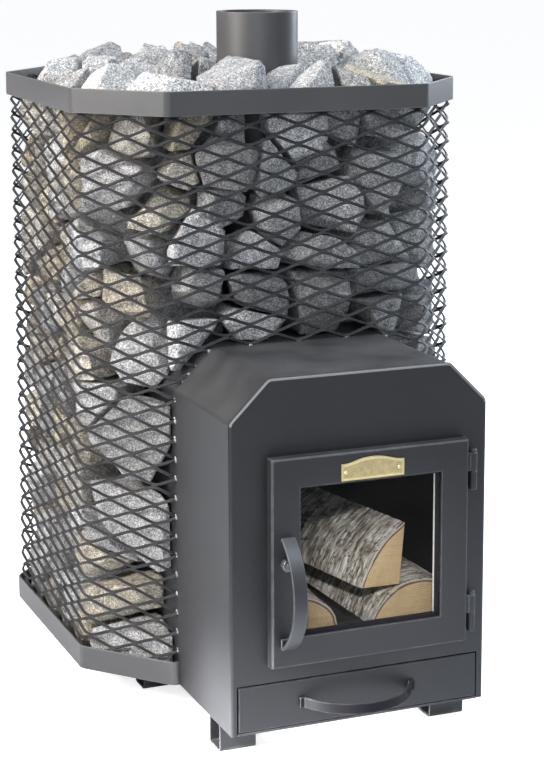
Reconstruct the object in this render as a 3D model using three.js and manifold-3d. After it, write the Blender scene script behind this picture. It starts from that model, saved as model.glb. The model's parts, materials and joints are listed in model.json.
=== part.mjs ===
// Wood-burning sauna heater: a firebox tunnel of bent plate runs into an octagonal stone cage of
// expanded metal. It has a glazed fire door with a turning latch, an ash drawer, a flue stub and
// short tube feet. Millimetres, +Z up, front towards -Y.
// Parts are laid out with the front plate's face at y = 0; the whole group is then centred.
import * as THREE from "three";
import { mergeVertices } from "three/addons/utils/BufferGeometryUtils.js";
import Module from "manifold-3d";

const wasm = await Module();
wasm.setup();

// Fits
const SEAT = 0.3;
const WELD_GAP = 1.6;
const RUNNING = 0.15;
const DRAWER_GAP = 1.5;
const HAIR = 1e-6;

// Feet
const FOOT_SECTION = 40;
const FOOT_WALL = 3;
const FOOT_LENGTH = 50;
const FOOT_BEND = 5;
const FOOT_INSET = 3;
const FRONT_FOOT_Y = 70;
const MIDDLE_FOOT_BEHIND_CAGE_FRONT = 119;
const REAR_FOOT_BEFORE_CAGE_BACK = 150;
const CAGE_FOOT_OVERHANG = 19;

// Firebox tunnel
const TUNNEL_WIDTH = 360;
const TUNNEL_HEIGHT = 465;
const TUNNEL_SHOULDER = 53;
const TUNNEL_REACH = 200;
const SHELL_WALL = 5;
const SHELL_BEND = 9;
const FRONT_THICKNESS = 5;
const FRONT_EDGE = 1.5;
const PLATE = 3;
const BACK_PLATE = 5;
const STONES_BEHIND_FIREBOX = 113;

// Hearth, grate and baffle
const HEARTH_Z = 112;
const HEARTH_THICKNESS = 4;
const GRATE_WIDTH = 236;
const GRATE_LENGTH = 320;
const GRATE_THICKNESS = 12;
const GRATE_FRONT = 120;
const GRATE_LAP = 9;
const GRATE_RIM = 18;
const GRATE_SLOTS = 9;
const GRATE_BAR = 12;
const BAFFLE_DROP = 76;
const BAFFLE_THICKNESS = 6;
const BAFFLE_BACK_GAP = 110;
const LEDGE_WIDTH = 20;
const LEDGE_HEIGHT = 8;

// Stone cage
const CAGE_WIDTH = 573;
const CAGE_DEPTH = 568;
const CAGE_FRONT_FLAT = 378;
const CAGE_SIDE_FLAT = 340;
const CAGE_HEIGHT = 811;
const CAGE_BEND = 15;
const BAND_HEIGHT = 33;
const BAND_THICKNESS = 3;
const BEND_STEPS = 2;

// Expanded metal
const MESH_LONG = 70.5;
const MESH_SHORT = 26.94;
const STRAND_WIDTH = 4;
const STRAND_DEPTH = 2.2;
const LAYER_GAP = 0.4;
const SELVEDGE = 8;
const SELVEDGE_INSET = 6;

// Stones
const STONE_LENGTH = 122;
const STONE_HEIGHT = 92;
const STONE_JITTER = 11;
const STONE_BITE = 1.2;
const STONE_GROOVE = 0.62;
const TOP_STONE = 98;
const TOP_GROOVE = 0.54;
const TOP_FACETS = 3;
const MESH_TO_STONE = 2;
const TOP_LAYER_BELOW_RIM = 62;
const HEAP_ABOVE_RIM = 44;

// Flue
const FLUE_DIAMETER = 114;
const FLUE_WALL = 4;
const FLUE_TOP = 947;
const FLUE_BEHIND_CAGE_FRONT = 159;
const ROUND_STEPS = 40;
const SMALL_STEPS = 14;

// Fire door
const DOOR_WIDTH = 277;
const DOOR_HEIGHT = 275;
const DOOR_DEPTH = 17;
const DOOR_SHIFT = 8.5;
const DOOR_BOTTOM = 129.5;
const DOOR_PLATE = 4;
const DOOR_STILE = 39;
const DOOR_EDGE = 2;
const DOOR_STANDOFF = 0.8;
const DOOR_LAP = 11;
const GLASS_LAP = 10;
const GLASS_THICKNESS = 4;
const GASKET_THICKNESS = 1.8;
const GASKET_WIDTH = 8;
const RETAINER_THICKNESS = 2.5;
const RETAINER_WIDTH = 8;
const SEAL_WIDTH = 6;
const SEAL_ROUND = 2;

// Nameplate
const NAMEPLATE_WIDTH = 88;
const NAMEPLATE_HEIGHT = 22;
const NAMEPLATE_CROWN = 7;
const NAMEPLATE_THICKNESS = 1.2;
const NAMEPLATE_RIM = 2.2;
const NAMEPLATE_RAISE = 0.8;
const NAMEPLATE_RISE = 2.5;

// Hinges
const KNUCKLE_DIAMETER = 11;
const KNUCKLE_LENGTH = 25;
const HINGE_GAP = 0.6;
const PIN_DIAMETER = 6;
const PIN_GRIP = 20;
const FINIAL_HEIGHT = 5.5;
const HINGE_FROM_EDGE = 10.5;
const HINGE_UPPER_FROM_TOP = 45;
const HINGE_LOWER_FROM_BOTTOM = 36;
const KNUCKLE_WEB = 6;

// Door handle and latch
const STRAP_WIDTH = 17;
const STRAP_THICKNESS = 4;
const STRAP_LENGTH = 146;
const STRAP_BOW = 42;
const STRAP_STANDOFF = 3;
const STRAP_TAIL = 14;
const STRAP_STEPS = 14;
const SPINDLE_DIAMETER = 9;
const SPINDLE_ABOVE_STRAP_MIDDLE = 38;
const STRAP_BOTTOM_ABOVE_DOOR = 27;
const BUSH_ACROSS = 15;
const BUSH_LENGTH = 9;
const CAM_REACH = 24;
const CAM_WIDTH = 15;
const CAM_THICKNESS = 4;
const CAM_PLAY = 0.8;
const NUT_ACROSS = 15;
const NUT_THICKNESS = 6;

// Ash drawer
const DRAWER_WIDTH = 340;
const DRAWER_HEIGHT = 60.5;
const DRAWER_EDGE = 1.2;
const TRAY_LENGTH = 420;
const TRAY_HEIGHT = 50;
const TRAY_WALL = 2;
const GUIDE_WIDTH = 6;
const GUIDE_HEIGHT = 12;
const PULL_SPAN = 150;
const PULL_BOW = 50;
const PULL_TAB = 7;
const PULL_HEIGHT = 14;
const PULL_THICKNESS = 4;
const PULL_SHIFT = -4;
const PULL_STEPS = 16;

// Firewood
const LOG_LENGTH = 340;
const LOG_FRONT = 88;
const LOG_RADIUS = 50;
const BIG_LOG_RADIUS = 96;

// Heights and depths that follow from the sizes above
const BASE_Z = FOOT_SECTION;
const TUNNEL_TOP = BASE_Z + TUNNEL_HEIGHT;
const HALF_TUNNEL = TUNNEL_WIDTH / 2;
const INNER_HALF = HALF_TUNNEL - SHELL_WALL;
const CAGE_FRONT = TUNNEL_REACH;
const CAGE_BACK = CAGE_FRONT + CAGE_DEPTH;
const CAGE_TOP = BASE_Z + CAGE_HEIGHT;
const FIREBOX_BACK = CAGE_BACK - STONES_BEHIND_FIREBOX;
const SHELL_FRONT = FRONT_THICKNESS + SEAT;
const SHELL_BACK = FIREBOX_BACK - BACK_PLATE - SEAT;
const FLUE_Y = CAGE_FRONT + FLUE_BEHIND_CAGE_FRONT;
const FLUE_RADIUS = FLUE_DIAMETER / 2;
const FLOOR_TOP = BASE_Z + PLATE;
const HEARTH_TOP = HEARTH_Z + HEARTH_THICKNESS;
const GRATE_TOP = HEARTH_TOP + SEAT + GRATE_THICKNESS;
const BAFFLE_Z = TUNNEL_TOP - BAFFLE_DROP;
const DOOR_TOP = DOOR_BOTTOM + DOOR_HEIGHT;
const DOOR_LEFT = DOOR_SHIFT - DOOR_WIDTH / 2;
const DOOR_RIGHT = DOOR_SHIFT + DOOR_WIDTH / 2;
const DOOR_FACE = -DOOR_DEPTH;
const HINGE_X = DOOR_RIGHT + HINGE_FROM_EDGE;
const HINGE_Y = -DOOR_DEPTH / 2;
const DRAWER_BOTTOM = FLOOR_TOP + SEAT * 2;
const DRAWER_TOP = DRAWER_BOTTOM + DRAWER_HEIGHT;
const MESH_OUTER = BAND_THICKNESS + WELD_GAP;
const MESH_INNER = MESH_OUTER + 2 * STRAND_DEPTH + LAYER_GAP;
const STONE_INSET = MESH_INNER + MESH_TO_STONE;
const STONE_TOP = CAGE_TOP - TOP_LAYER_BELOW_RIM;
const STRAP_BOTTOM = DOOR_BOTTOM + STRAP_BOTTOM_ABOVE_DOOR;
const STRAP_MIDDLE = STRAP_BOTTOM + STRAP_LENGTH / 2;
const SPINDLE_X = DOOR_LEFT + DOOR_STILE / 2;
const SPINDLE_Z = STRAP_MIDDLE + SPINDLE_ABOVE_STRAP_MIDDLE;

// Finishes
const finish = (color, roughness, metalness) =>
  new THREE.MeshStandardMaterial({ color, roughness, metalness });
const blackPaint = finish(0x3a3a3e, 0.55, 0.35);
const cagePaint = finish(0x47484c, 0.6, 0.35);
const castIron = finish(0x2b2b2d, 0.85, 0.4);
const barePlate = finish(0x77736d, 0.5, 0.8);
const turnedSteel = finish(0xa8a6a2, 0.3, 0.95);
const brass = finish(0xb8934a, 0.3, 0.95);
const ceramicGlass = finish(0x1a1d24, 0.05, 0);
const whiteRope = finish(0xe6e2d8, 0.95, 0);
const greyRope = finish(0x5b5a57, 0.95, 0);
const granite = finish(0xaaa8a3, 0.9, 0);
const firewood = finish(0xa98660, 0.85, 0);

// Joining and cutting
function solidOf(geometry) {
  const bare = geometry.clone();
  bare.deleteAttribute("normal");
  bare.deleteAttribute("uv");
  const merged = mergeVertices(bare, 1e-4);
  return new wasm.Manifold(
    new wasm.Mesh({
      numProp: 3,
      vertProperties: new Float32Array(merged.attributes.position.array),
      triVerts: new Uint32Array(merged.index.array),
    }),
  );
}

function geometryOf(solid) {
  const mesh = solid.getMesh();
  const geometry = new THREE.BufferGeometry();
  const corners = new Float32Array(mesh.numVert * 3);
  for (let i = 0; i < mesh.numVert; i += 1) {
    for (let k = 0; k < 3; k += 1) corners[3 * i + k] = mesh.vertProperties[mesh.numProp * i + k];
  }
  geometry.setAttribute("position", new THREE.BufferAttribute(corners, 3));
  geometry.setIndex(new THREE.BufferAttribute(new Uint32Array(mesh.triVerts), 1));
  return geometry.toNonIndexed();
}

const joined = (...geometries) => geometries.map(solidOf).reduce((whole, next) => whole.add(next));

function named(name, geometry, material) {
  geometry.computeVertexNormals();
  const mesh = new THREE.Mesh(geometry, material);
  mesh.name = name;
  return mesh;
}

function assembly(name, ...members) {
  const group = new THREE.Group();
  group.name = name;
  group.add(...members);
  return group;
}

// Outlines
const point = (x, y) => new THREE.Vector2(x, y);

const rectangle = (x0, x1, y0, y1) => [point(x0, y0), point(x1, y0), point(x1, y1), point(x0, y1)];

const circle = (radius, steps) => Array.from({ length: steps }, (_, i) =>
  point(radius, 0).rotateAround(point(0, 0), (i * 2 * Math.PI) / steps));

function shapeOf(outline, ...holes) {
  const shape = new THREE.Shape(outline);
  shape.holes = holes.map((hole) => new THREE.Path(hole));
  return shape;
}

// Corners become arcs of the given radius; a radius list rounds corner by corner.
function rounded(corners, radius, steps = BEND_STEPS) {
  return corners.flatMap((corner, i) => {
    const size = Array.isArray(radius) ? radius[i] : radius;
    if (!size) return [corner];
    const before = corners.at(i - 1).clone().sub(corner).normalize();
    const after = corners[(i + 1) % corners.length].clone().sub(corner).normalize();
    const half = before.angleTo(after) / 2;
    const run = size / Math.tan(half);
    const centre = before.clone().add(after).normalize().multiplyScalar(size / Math.sin(half)).add(corner);
    const from = corner.clone().addScaledVector(before, run).sub(centre);
    const to = corner.clone().addScaledVector(after, run).sub(centre);
    const turn = Math.atan2(from.cross(to), from.dot(to));
    return Array.from({ length: steps + 1 }, (_, k) =>
      from.clone().rotateAround(point(0, 0), (turn * k) / steps).add(centre));
  });
}

// A counter-clockwise convex outline moved inwards by a distance.
function inset(corners, distance) {
  return corners.map((corner, i) => {
    const into = corner.clone().sub(corners.at(i - 1)).normalize();
    const onto = corners[(i + 1) % corners.length].clone().sub(corner).normalize();
    const normal = point(-into.y - onto.y, into.x + onto.x);
    return corner.clone().addScaledVector(normal, distance / (1 + into.dot(onto)));
  });
}

// A strip of constant thickness along an open line, mitred at each bend.
function ribbon(line, thickness) {
  const side = (sign) =>
    line.map((spot, i) => {
      const into = spot.clone().sub(line[Math.max(i - 1, 0)]);
      const onto = line[Math.min(i + 1, line.length - 1)].clone().sub(spot);
      const a = (into.lengthSq() ? into : onto).clone().normalize();
      const b = (onto.lengthSq() ? onto : into).clone().normalize();
      const normal = point(-a.y - b.y, a.x + b.x);
      return spot.clone().addScaledVector(normal, (sign * thickness) / 2 / (1 + a.dot(b)));
    });
  return [...side(-1), ...side(1).reverse()];
}

// Extrusions along the three axes
function alongZ(shape, z0, z1, options = {}) {
  const settings = { depth: z1 - z0, bevelEnabled: false, ...options };
  return new THREE.ExtrudeGeometry(shape, settings).translate(0, 0, z0);
}

function alongY(shape, y0, y1) {
  return alongZ(shape, 0, y1 - y0).rotateX(Math.PI / 2).translate(0, y1, 0);
}

function alongX(shape, x0, x1) {
  const turn = new THREE.Matrix4().makeBasis(
    new THREE.Vector3(0, 1, 0),
    new THREE.Vector3(0, 0, 1),
    new THREE.Vector3(1, 0, 0),
  );
  return alongZ(shape, 0, x1 - x0).applyMatrix4(turn).translate(x0, 0, 0);
}

// A plate that faces the front, its edges eased on both faces.
function easedPlate(shape, y0, y1, ease) {
  const options = {
    bevelEnabled: true, bevelThickness: ease, bevelSize: ease, bevelOffset: -ease, bevelSegments: 1,
  };
  return alongZ(shape, 0, y1 - y0 - 2 * ease, options).rotateX(Math.PI / 2).translate(0, y1 - ease, 0);
}

function block(x0, x1, y0, y1, z0, z1) {
  const box = new THREE.BoxGeometry(x1 - x0, y1 - y0, z1 - z0);
  return box.translate((x0 + x1) / 2, (y0 + y1) / 2, (z0 + z1) / 2);
}

function rod(radius, z0, z1, steps = ROUND_STEPS) {
  const bar = new THREE.CylinderGeometry(radius, radius, z1 - z0, steps).rotateX(Math.PI / 2);
  return bar.translate(0, 0, (z0 + z1) / 2);
}

const rodAlongY = (radius, y0, y1, steps) =>
  new THREE.CylinderGeometry(radius, radius, y1 - y0, steps).translate(0, (y0 + y1) / 2, 0);

// Firebox
function tunnelOutline(grow, bottom, bend) {
  const half = HALF_TUNNEL + grow;
  const top = TUNNEL_TOP + grow;
  const run = TUNNEL_SHOULDER + grow * (2 - Math.SQRT2);
  const corners = [
    point(-half, bottom), point(half, bottom), point(half, top - run),
    point(half - run, top), point(run - half, top), point(-half, top - run),
  ];
  return rounded(corners, [0, 0, bend, bend, bend, bend]);
}

function frontPlate() {
  const notchHalf = DRAWER_WIDTH / 2 + DRAWER_GAP;
  const notchTop = DRAWER_TOP + DRAWER_GAP;
  const outline = tunnelOutline(0, BASE_Z, SHELL_BEND);
  const notch = [
    point(-HALF_TUNNEL, BASE_Z), point(-notchHalf, BASE_Z), point(-notchHalf, notchTop),
    point(notchHalf, notchTop), point(notchHalf, BASE_Z), ...outline.slice(1),
  ];
  const mouth = rectangle(
    DOOR_LEFT + DOOR_LAP, DOOR_RIGHT - DOOR_LAP, DOOR_BOTTOM + DOOR_LAP, DOOR_TOP - DOOR_LAP);
  return named("front_plate", easedPlate(shapeOf(notch, mouth), 0, FRONT_THICKNESS, FRONT_EDGE), blackPaint);
}

function fireboxShell() {
  const outside = tunnelOutline(0, BASE_Z, SHELL_BEND);
  const inside = tunnelOutline(-SHELL_WALL, BASE_Z, SHELL_BEND - SHELL_WALL);
  const arch = [...outside.slice(1), outside[0], inside[0], ...inside.slice(1).reverse()];
  const outlet = rod(FLUE_RADIUS - FLUE_WALL, TUNNEL_TOP - 2 * SHELL_WALL, TUNNEL_TOP + SHELL_WALL);
  const shell = solidOf(alongY(shapeOf(arch), SHELL_FRONT, SHELL_BACK));
  const pierced = shell.subtract(solidOf(outlet.translate(0, FLUE_Y, 0)));
  return named("firebox_shell", geometryOf(pierced), blackPaint);
}

function fireboxBack() {
  const outline = tunnelOutline(0, BASE_Z, SHELL_BEND);
  const sheet = alongY(shapeOf(outline), FIREBOX_BACK - BACK_PLATE, FIREBOX_BACK);
  return named("firebox_back", sheet, blackPaint);
}

const innerHalf = INNER_HALF - SEAT;

// The bottom plate's front edge shows below the drawer as a sill, between the legs of the front plate.
function bottomPlate() {
  const sill = DRAWER_WIDTH / 2 + DRAWER_GAP - SEAT;
  const sheet = [
    point(-sill, 0), point(sill, 0),
    point(sill, SHELL_FRONT), point(innerHalf, SHELL_FRONT),
    point(innerHalf, SHELL_BACK), point(-innerHalf, SHELL_BACK),
    point(-innerHalf, SHELL_FRONT), point(-sill, SHELL_FRONT),
  ];
  return named("bottom_plate", alongZ(shapeOf(sheet), BASE_Z, FLOOR_TOP), blackPaint);
}

function hearthPlate() {
  const holeHalf = GRATE_WIDTH / 2 - GRATE_LAP;
  const holeFront = GRATE_FRONT + GRATE_LAP;
  const hole = rectangle(-holeHalf, holeHalf, holeFront, holeFront + GRATE_LENGTH - 2 * GRATE_LAP);
  const sheet = rectangle(-innerHalf, innerHalf, SHELL_FRONT, SHELL_BACK);
  return named("hearth_plate", alongZ(shapeOf(sheet, hole), HEARTH_Z, HEARTH_TOP), barePlate);
}

function fireGrate() {
  const open = GRATE_WIDTH - 2 * GRATE_RIM + GRATE_BAR;
  const pitch = open / GRATE_SLOTS;
  const back = GRATE_FRONT + GRATE_LENGTH;
  const half = GRATE_WIDTH / 2;
  let casting = solidOf(block(-half, half, GRATE_FRONT, back, HEARTH_TOP + SEAT, GRATE_TOP));
  for (let i = 0; i < GRATE_SLOTS; i += 1) {
    const left = -open / 2 + GRATE_BAR / 2 + i * pitch;
    const right = left + pitch - GRATE_BAR;
    const slot = block(left, right, GRATE_FRONT + GRATE_RIM, back - GRATE_RIM, HEARTH_Z, GRATE_TOP + PLATE);
    casting = casting.subtract(solidOf(slot));
  }
  return named("fire_grate", geometryOf(casting), castIron);
}

const baffleLength = () => SHELL_BACK - BAFFLE_BACK_GAP;

const bafflePlate = () =>
  named("baffle_plate", block(-innerHalf + SEAT, innerHalf - SEAT, SHELL_FRONT, baffleLength(),
    BAFFLE_Z, BAFFLE_Z + BAFFLE_THICKNESS), barePlate);

function baffleLedge(side, sign) {
  const edges = [sign * innerHalf, sign * (innerHalf - LEDGE_WIDTH)].sort((a, b) => a - b);
  const bar = block(...edges, SHELL_FRONT, baffleLength(), BAFFLE_Z - SEAT - LEDGE_HEIGHT, BAFFLE_Z - SEAT);
  return named(`baffle_ledge_${side}`, bar, barePlate);
}

function flueStub() {
  const wall = shapeOf(circle(FLUE_RADIUS, ROUND_STEPS), circle(FLUE_RADIUS - FLUE_WALL, ROUND_STEPS));
  const tube = alongZ(wall, TUNNEL_TOP + SEAT, FLUE_TOP);
  const mesh = named("flue_stub", tube, cagePaint);
  mesh.position.set(0, FLUE_Y, 0);
  return mesh;
}

// Feet
function foot(name, x, y) {
  const half = FOOT_SECTION / 2;
  const top = BASE_Z - SEAT;
  const outer = rounded(rectangle(-half, half, 0, top), FOOT_BEND, 2);
  const hollow = rectangle(FOOT_WALL - half, half - FOOT_WALL, FOOT_WALL, top - FOOT_WALL);
  const bore = rounded(hollow, FOOT_BEND - FOOT_WALL, 2);
  const mesh = named(name, alongX(shapeOf(outer, bore), -FOOT_LENGTH / 2, FOOT_LENGTH / 2), blackPaint);
  mesh.position.set(x, y, 0);
  return mesh;
}

function feet() {
  const frontX = HALF_TUNNEL - FOOT_INSET - FOOT_LENGTH / 2;
  const cageX = HALF_TUNNEL + CAGE_FOOT_OVERHANG - FOOT_LENGTH / 2;
  const rows = [
    ["front", frontX, FRONT_FOOT_Y],
    ["middle", cageX, CAGE_FRONT + MIDDLE_FOOT_BEHIND_CAGE_FRONT],
    ["rear", cageX, CAGE_BACK - REAR_FOOT_BEFORE_CAGE_BACK],
  ];
  return rows.flatMap(([row, x, y]) => [foot(`foot_${row}_left`, -x, y), foot(`foot_${row}_right`, x, y)]);
}

// Stone cage
function cageCorners(distance = 0) {
  const wide = CAGE_WIDTH / 2;
  const narrow = CAGE_FRONT_FLAT / 2;
  const slope = (CAGE_DEPTH - CAGE_SIDE_FLAT) / 2;
  const corners = [
    point(-narrow, CAGE_FRONT), point(narrow, CAGE_FRONT),
    point(wide, CAGE_FRONT + slope), point(wide, CAGE_BACK - slope),
    point(narrow, CAGE_BACK), point(-narrow, CAGE_BACK),
    point(-wide, CAGE_BACK - slope), point(-wide, CAGE_FRONT + slope),
  ];
  return inset(corners, distance);
}

const cageRing = (outer, inner, z0, z1) =>
  alongZ(shapeOf(
    rounded(cageCorners(outer), CAGE_BEND - outer),
    rounded(cageCorners(inner), Math.max(CAGE_BEND - inner, 2)),
  ), z0, z1);

// The room that the tunnel takes out of the cage's front.
function tunnelRoom(grow) {
  const outline = tunnelOutline(grow, BASE_Z - FOOT_SECTION, SHELL_BEND);
  return solidOf(alongY(shapeOf(outline), -DOOR_DEPTH, FIREBOX_BACK + grow));
}

const topBand = () =>
  named("top_band", cageRing(0, BAND_THICKNESS, CAGE_TOP - BAND_HEIGHT, CAGE_TOP), cagePaint);

function bottomBand() {
  const hoop = solidOf(cageRing(0, BAND_THICKNESS, BASE_Z, BASE_Z + BAND_HEIGHT));
  return named("bottom_band", geometryOf(hoop.subtract(tunnelRoom(SEAT))), cagePaint);
}

function cageFloor() {
  const inner = BAND_THICKNESS + SEAT;
  const sheet = solidOf(alongZ(shapeOf(rounded(cageCorners(inner), CAGE_BEND - inner)), BASE_Z, FLOOR_TOP));
  return named("cage_floor", geometryOf(sheet.subtract(tunnelRoom(SEAT))), blackPaint);
}

// Distances from the first cage corner, round the outline, to each corner and back to the start.
function lapMarks(corners) {
  const marks = [0];
  corners.forEach((corner, i) => marks.push(marks[i] + corner.distanceTo(corners[(i + 1) % corners.length])));
  return marks;
}

// The spot at a distance along the lap: which side it is on, and how far along that side.
function spotOnLap(marks, distance) {
  const lap = marks.at(-1);
  const along = (((distance % lap) + lap) % lap + HAIR) % lap;
  const side = marks.findIndex((mark, i) => along < marks[i + 1]);
  return { side, part: (along - marks[side]) / (marks[side + 1] - marks[side]) };
}

const onSide = (corners, { side, part }) =>
  corners[side].clone().lerp(corners[(side + 1) % corners.length], part);

// One strand climbs round the cage from selvedge to selvedge, bent at each corner of the outline.
// Its flat lies outside, its ridge inside. Way is +1 or -1.
function strand(start, way, depth, lift, climb) {
  const line = cageCorners(MESH_OUTER + STRAND_DEPTH);
  const flat = cageCorners(depth);
  const ridge = cageCorners(depth + STRAND_DEPTH);
  const marks = lapMarks(line);
  const lap = marks.at(-1);
  const rise = STRAND_WIDTH / 2 / Math.cos(Math.atan(climb));
  const end = lift[1] - lift[0];
  const stops = [0];
  for (let turn = -2; turn <= 2; turn += 1) {
    for (const mark of marks.slice(0, -1)) {
      const run = way * (mark + turn * lap - start);
      if (run > 0.01 && run * climb < end - 0.01) stops.push(run);
    }
  }
  stops.sort((a, b) => a - b);
  stops.push(end / climb);
  const rings = stops.map((run) => {
    const spot = spotOnLap(marks, start + way * run);
    const out = onSide(flat, spot);
    const back = onSide(ridge, spot);
    const z = lift[0] + run * climb;
    const low = [out.x, out.y, z - rise];
    const high = [out.x, out.y, z + rise];
    return way > 0 ? [low, high, [back.x, back.y, z]] : [high, low, [back.x, back.y, z]];
  });
  return sweptSolid(rings);
}

function sweptSolid(rings) {
  const sides = rings[0].length;
  const faces = [];
  for (let i = 0; i + 1 < rings.length; i += 1) {
    for (let k = 0; k < sides; k += 1) {
      const a = i * sides + k;
      const b = i * sides + ((k + 1) % sides);
      faces.push(a, a + sides, b + sides, a, b + sides, b);
    }
  }
  const last = (rings.length - 1) * sides;
  for (let k = 1; k + 1 < sides; k += 1) {
    faces.push(0, k, k + 1);
    faces.push(last, last + k + 1, last + k);
  }
  const geometry = new THREE.BufferGeometry();
  geometry.setAttribute("position", new THREE.Float32BufferAttribute(rings.flat(2), 3));
  geometry.setIndex(faces);
  return solidOf(geometry);
}

function cageMesh() {
  const bottom = FLOOR_TOP + SEAT;
  const top = CAGE_TOP - SELVEDGE_INSET;
  const outer = BAND_THICKNESS + SEAT;
  const lower = solidOf(cageRing(outer, MESH_INNER, bottom, bottom + SELVEDGE));
  const upper = solidOf(cageRing(outer, MESH_INNER, top - SELVEDGE, top));
  const lift = [bottom + SELVEDGE / 2, top - SELVEDGE / 2];
  const lap = lapMarks(cageCorners(MESH_OUTER + STRAND_DEPTH)).at(-1);
  const columns = Math.round(lap / MESH_LONG);
  const pitch = lap / columns;
  const climb = MESH_SHORT / pitch;
  let mesh = lower.add(upper);
  for (let i = 0; i < columns; i += 1) {
    const start = CAGE_FRONT_FLAT / 2 + i * pitch;
    mesh = mesh.add(strand(start, 1, MESH_OUTER, lift, climb));
    mesh = mesh.add(strand(start, -1, MESH_OUTER + STRAND_DEPTH + LAYER_GAP, lift, climb));
  }
  return named("cage_mesh", geometryOf(mesh.subtract(tunnelRoom(SEAT))), cagePaint);
}

// Stones
function randomFrom(seed) {
  let state = seed >>> 0;
  return () => {
    state = (state + 0x6d2b79f5) >>> 0;
    let t = Math.imul(state ^ (state >>> 15), 1 | state);
    t = (t + Math.imul(t ^ (t >>> 7), 61 | t)) ^ t;
    return ((t ^ (t >>> 14)) >>> 0) / 4294967296;
  };
}

const vector = (x, y, z) => new THREE.Vector3(x, y, z);

// Everything behind the plane is kept: the plane lies at a distance from the spot along a direction.
const planeFrom = (spot, direction, distance) => {
  const normal = direction.clone().normalize();
  return { normal, offset: normal.dot(spot) + distance };
};

function stoneFrom(spot, planes) {
  const reach = 2 * (STONE_LENGTH + STONE_HEIGHT);
  let stone = solidOf(new THREE.BoxGeometry(reach, reach, reach).translate(...spot));
  for (const { normal, offset } of planes) {
    stone = stone.trimByPlane([-normal.x, -normal.y, -normal.z], -offset);
  }
  return stone;
}

// Planes of the cage that every stone stays inside.
function cagePlanes() {
  const corners = cageCorners(STONE_INSET);
  return corners.map((corner, i) => {
    const edge = corners[(i + 1) % corners.length].clone().sub(corner);
    return planeFrom(vector(corner.x, corner.y, 0), vector(edge.y, -edge.x, 0), 0);
  });
}

// Half-way planes to the neighbours. Stones of one heap bite into each other, heaps stay apart.
function sharedPlanes(stone, stones) {
  const near = 2.2 * STONE_LENGTH;
  return stones
    .filter((other) => other !== stone && other.spot.distanceTo(stone.spot) < near)
    .map((other) => {
      const way = other.spot.clone().sub(stone.spot);
      const play = other.heap === stone.heap ? STONE_BITE : -SEAT;
      return planeFrom(stone.spot, way, way.length() / 2 + play);
    });
}

function heapsOf(stones, wallsOf) {
  const heaps = new Map();
  for (const stone of stones) {
    const planes = [...sharedPlanes(stone, stones), ...wallsOf(stone), ...cagePlanes()];
    const solid = stoneFrom(stone.spot, planes);
    const heap = heaps.get(stone.heap);
    heaps.set(stone.heap, heap ? heap.add(solid) : solid);
  }
  return [...heaps].map(([name, solid]) => named(`stones_${name}`, geometryOf(solid), granite));
}

const wallX = HALF_TUNNEL + 2 * SEAT;
const wallBack = FIREBOX_BACK + 2 * SEAT;
const wallFront = FLUE_Y - FLUE_RADIUS - 2 * SEAT;

function heapAt(spot) {
  if (spot.x < -HALF_TUNNEL) return "left";
  if (spot.x > HALF_TUNNEL) return "right";
  return spot.y < FLUE_Y ? "front" : "back";
}

// Stones stacked behind the mesh, in courses round the cage. In front they start above the tunnel.
function sideStones() {
  const random = randomFrom(11);
  const depth = (CAGE_WIDTH / 2 - HALF_TUNNEL + STONE_INSET) / 2;
  const line = cageCorners(depth);
  const marks = lapMarks(line);
  const lap = marks.at(-1);
  const low = FLOOR_TOP + SEAT;
  const courses = Math.round((STONE_TOP - low) / STONE_HEIGHT);
  const height = (STONE_TOP - low) / courses;
  const count = Math.round(lap / STONE_LENGTH);
  const stones = [];
  for (let course = 0; course < courses; course += 1) {
    for (let i = 0; i < count; i += 1) {
      const along = ((i + (course % 2) / 2) * lap) / count + (random() - 0.5) * 2 * STONE_JITTER;
      const place = spotOnLap(marks, along);
      const flat = onSide(line, place);
      const z = low + (course + 0.5) * height + (random() - 0.5) * STONE_JITTER;
      const spot = vector(flat.x, flat.y, z);
      const edge = line[(place.side + 1) % line.length].clone().sub(line[place.side]).normalize();
      const stone = { spot, heap: heapAt(spot), out: vector(edge.y, -edge.x, 0), depth: depth - STONE_INSET };
      const inTunnel = stone.heap === "front" && z < TUNNEL_TOP + height * 0.4;
      const inCorner = Math.abs(Math.abs(spot.x) - HALF_TUNNEL) < depth / 4 && spot.y < FLUE_Y;
      if (!inTunnel && !(inCorner && z < TUNNEL_TOP)) stones.push(stone);
    }
  }
  return heapsOf(stones, (stone) => sideWalls(stone, random, low));
}

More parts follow.
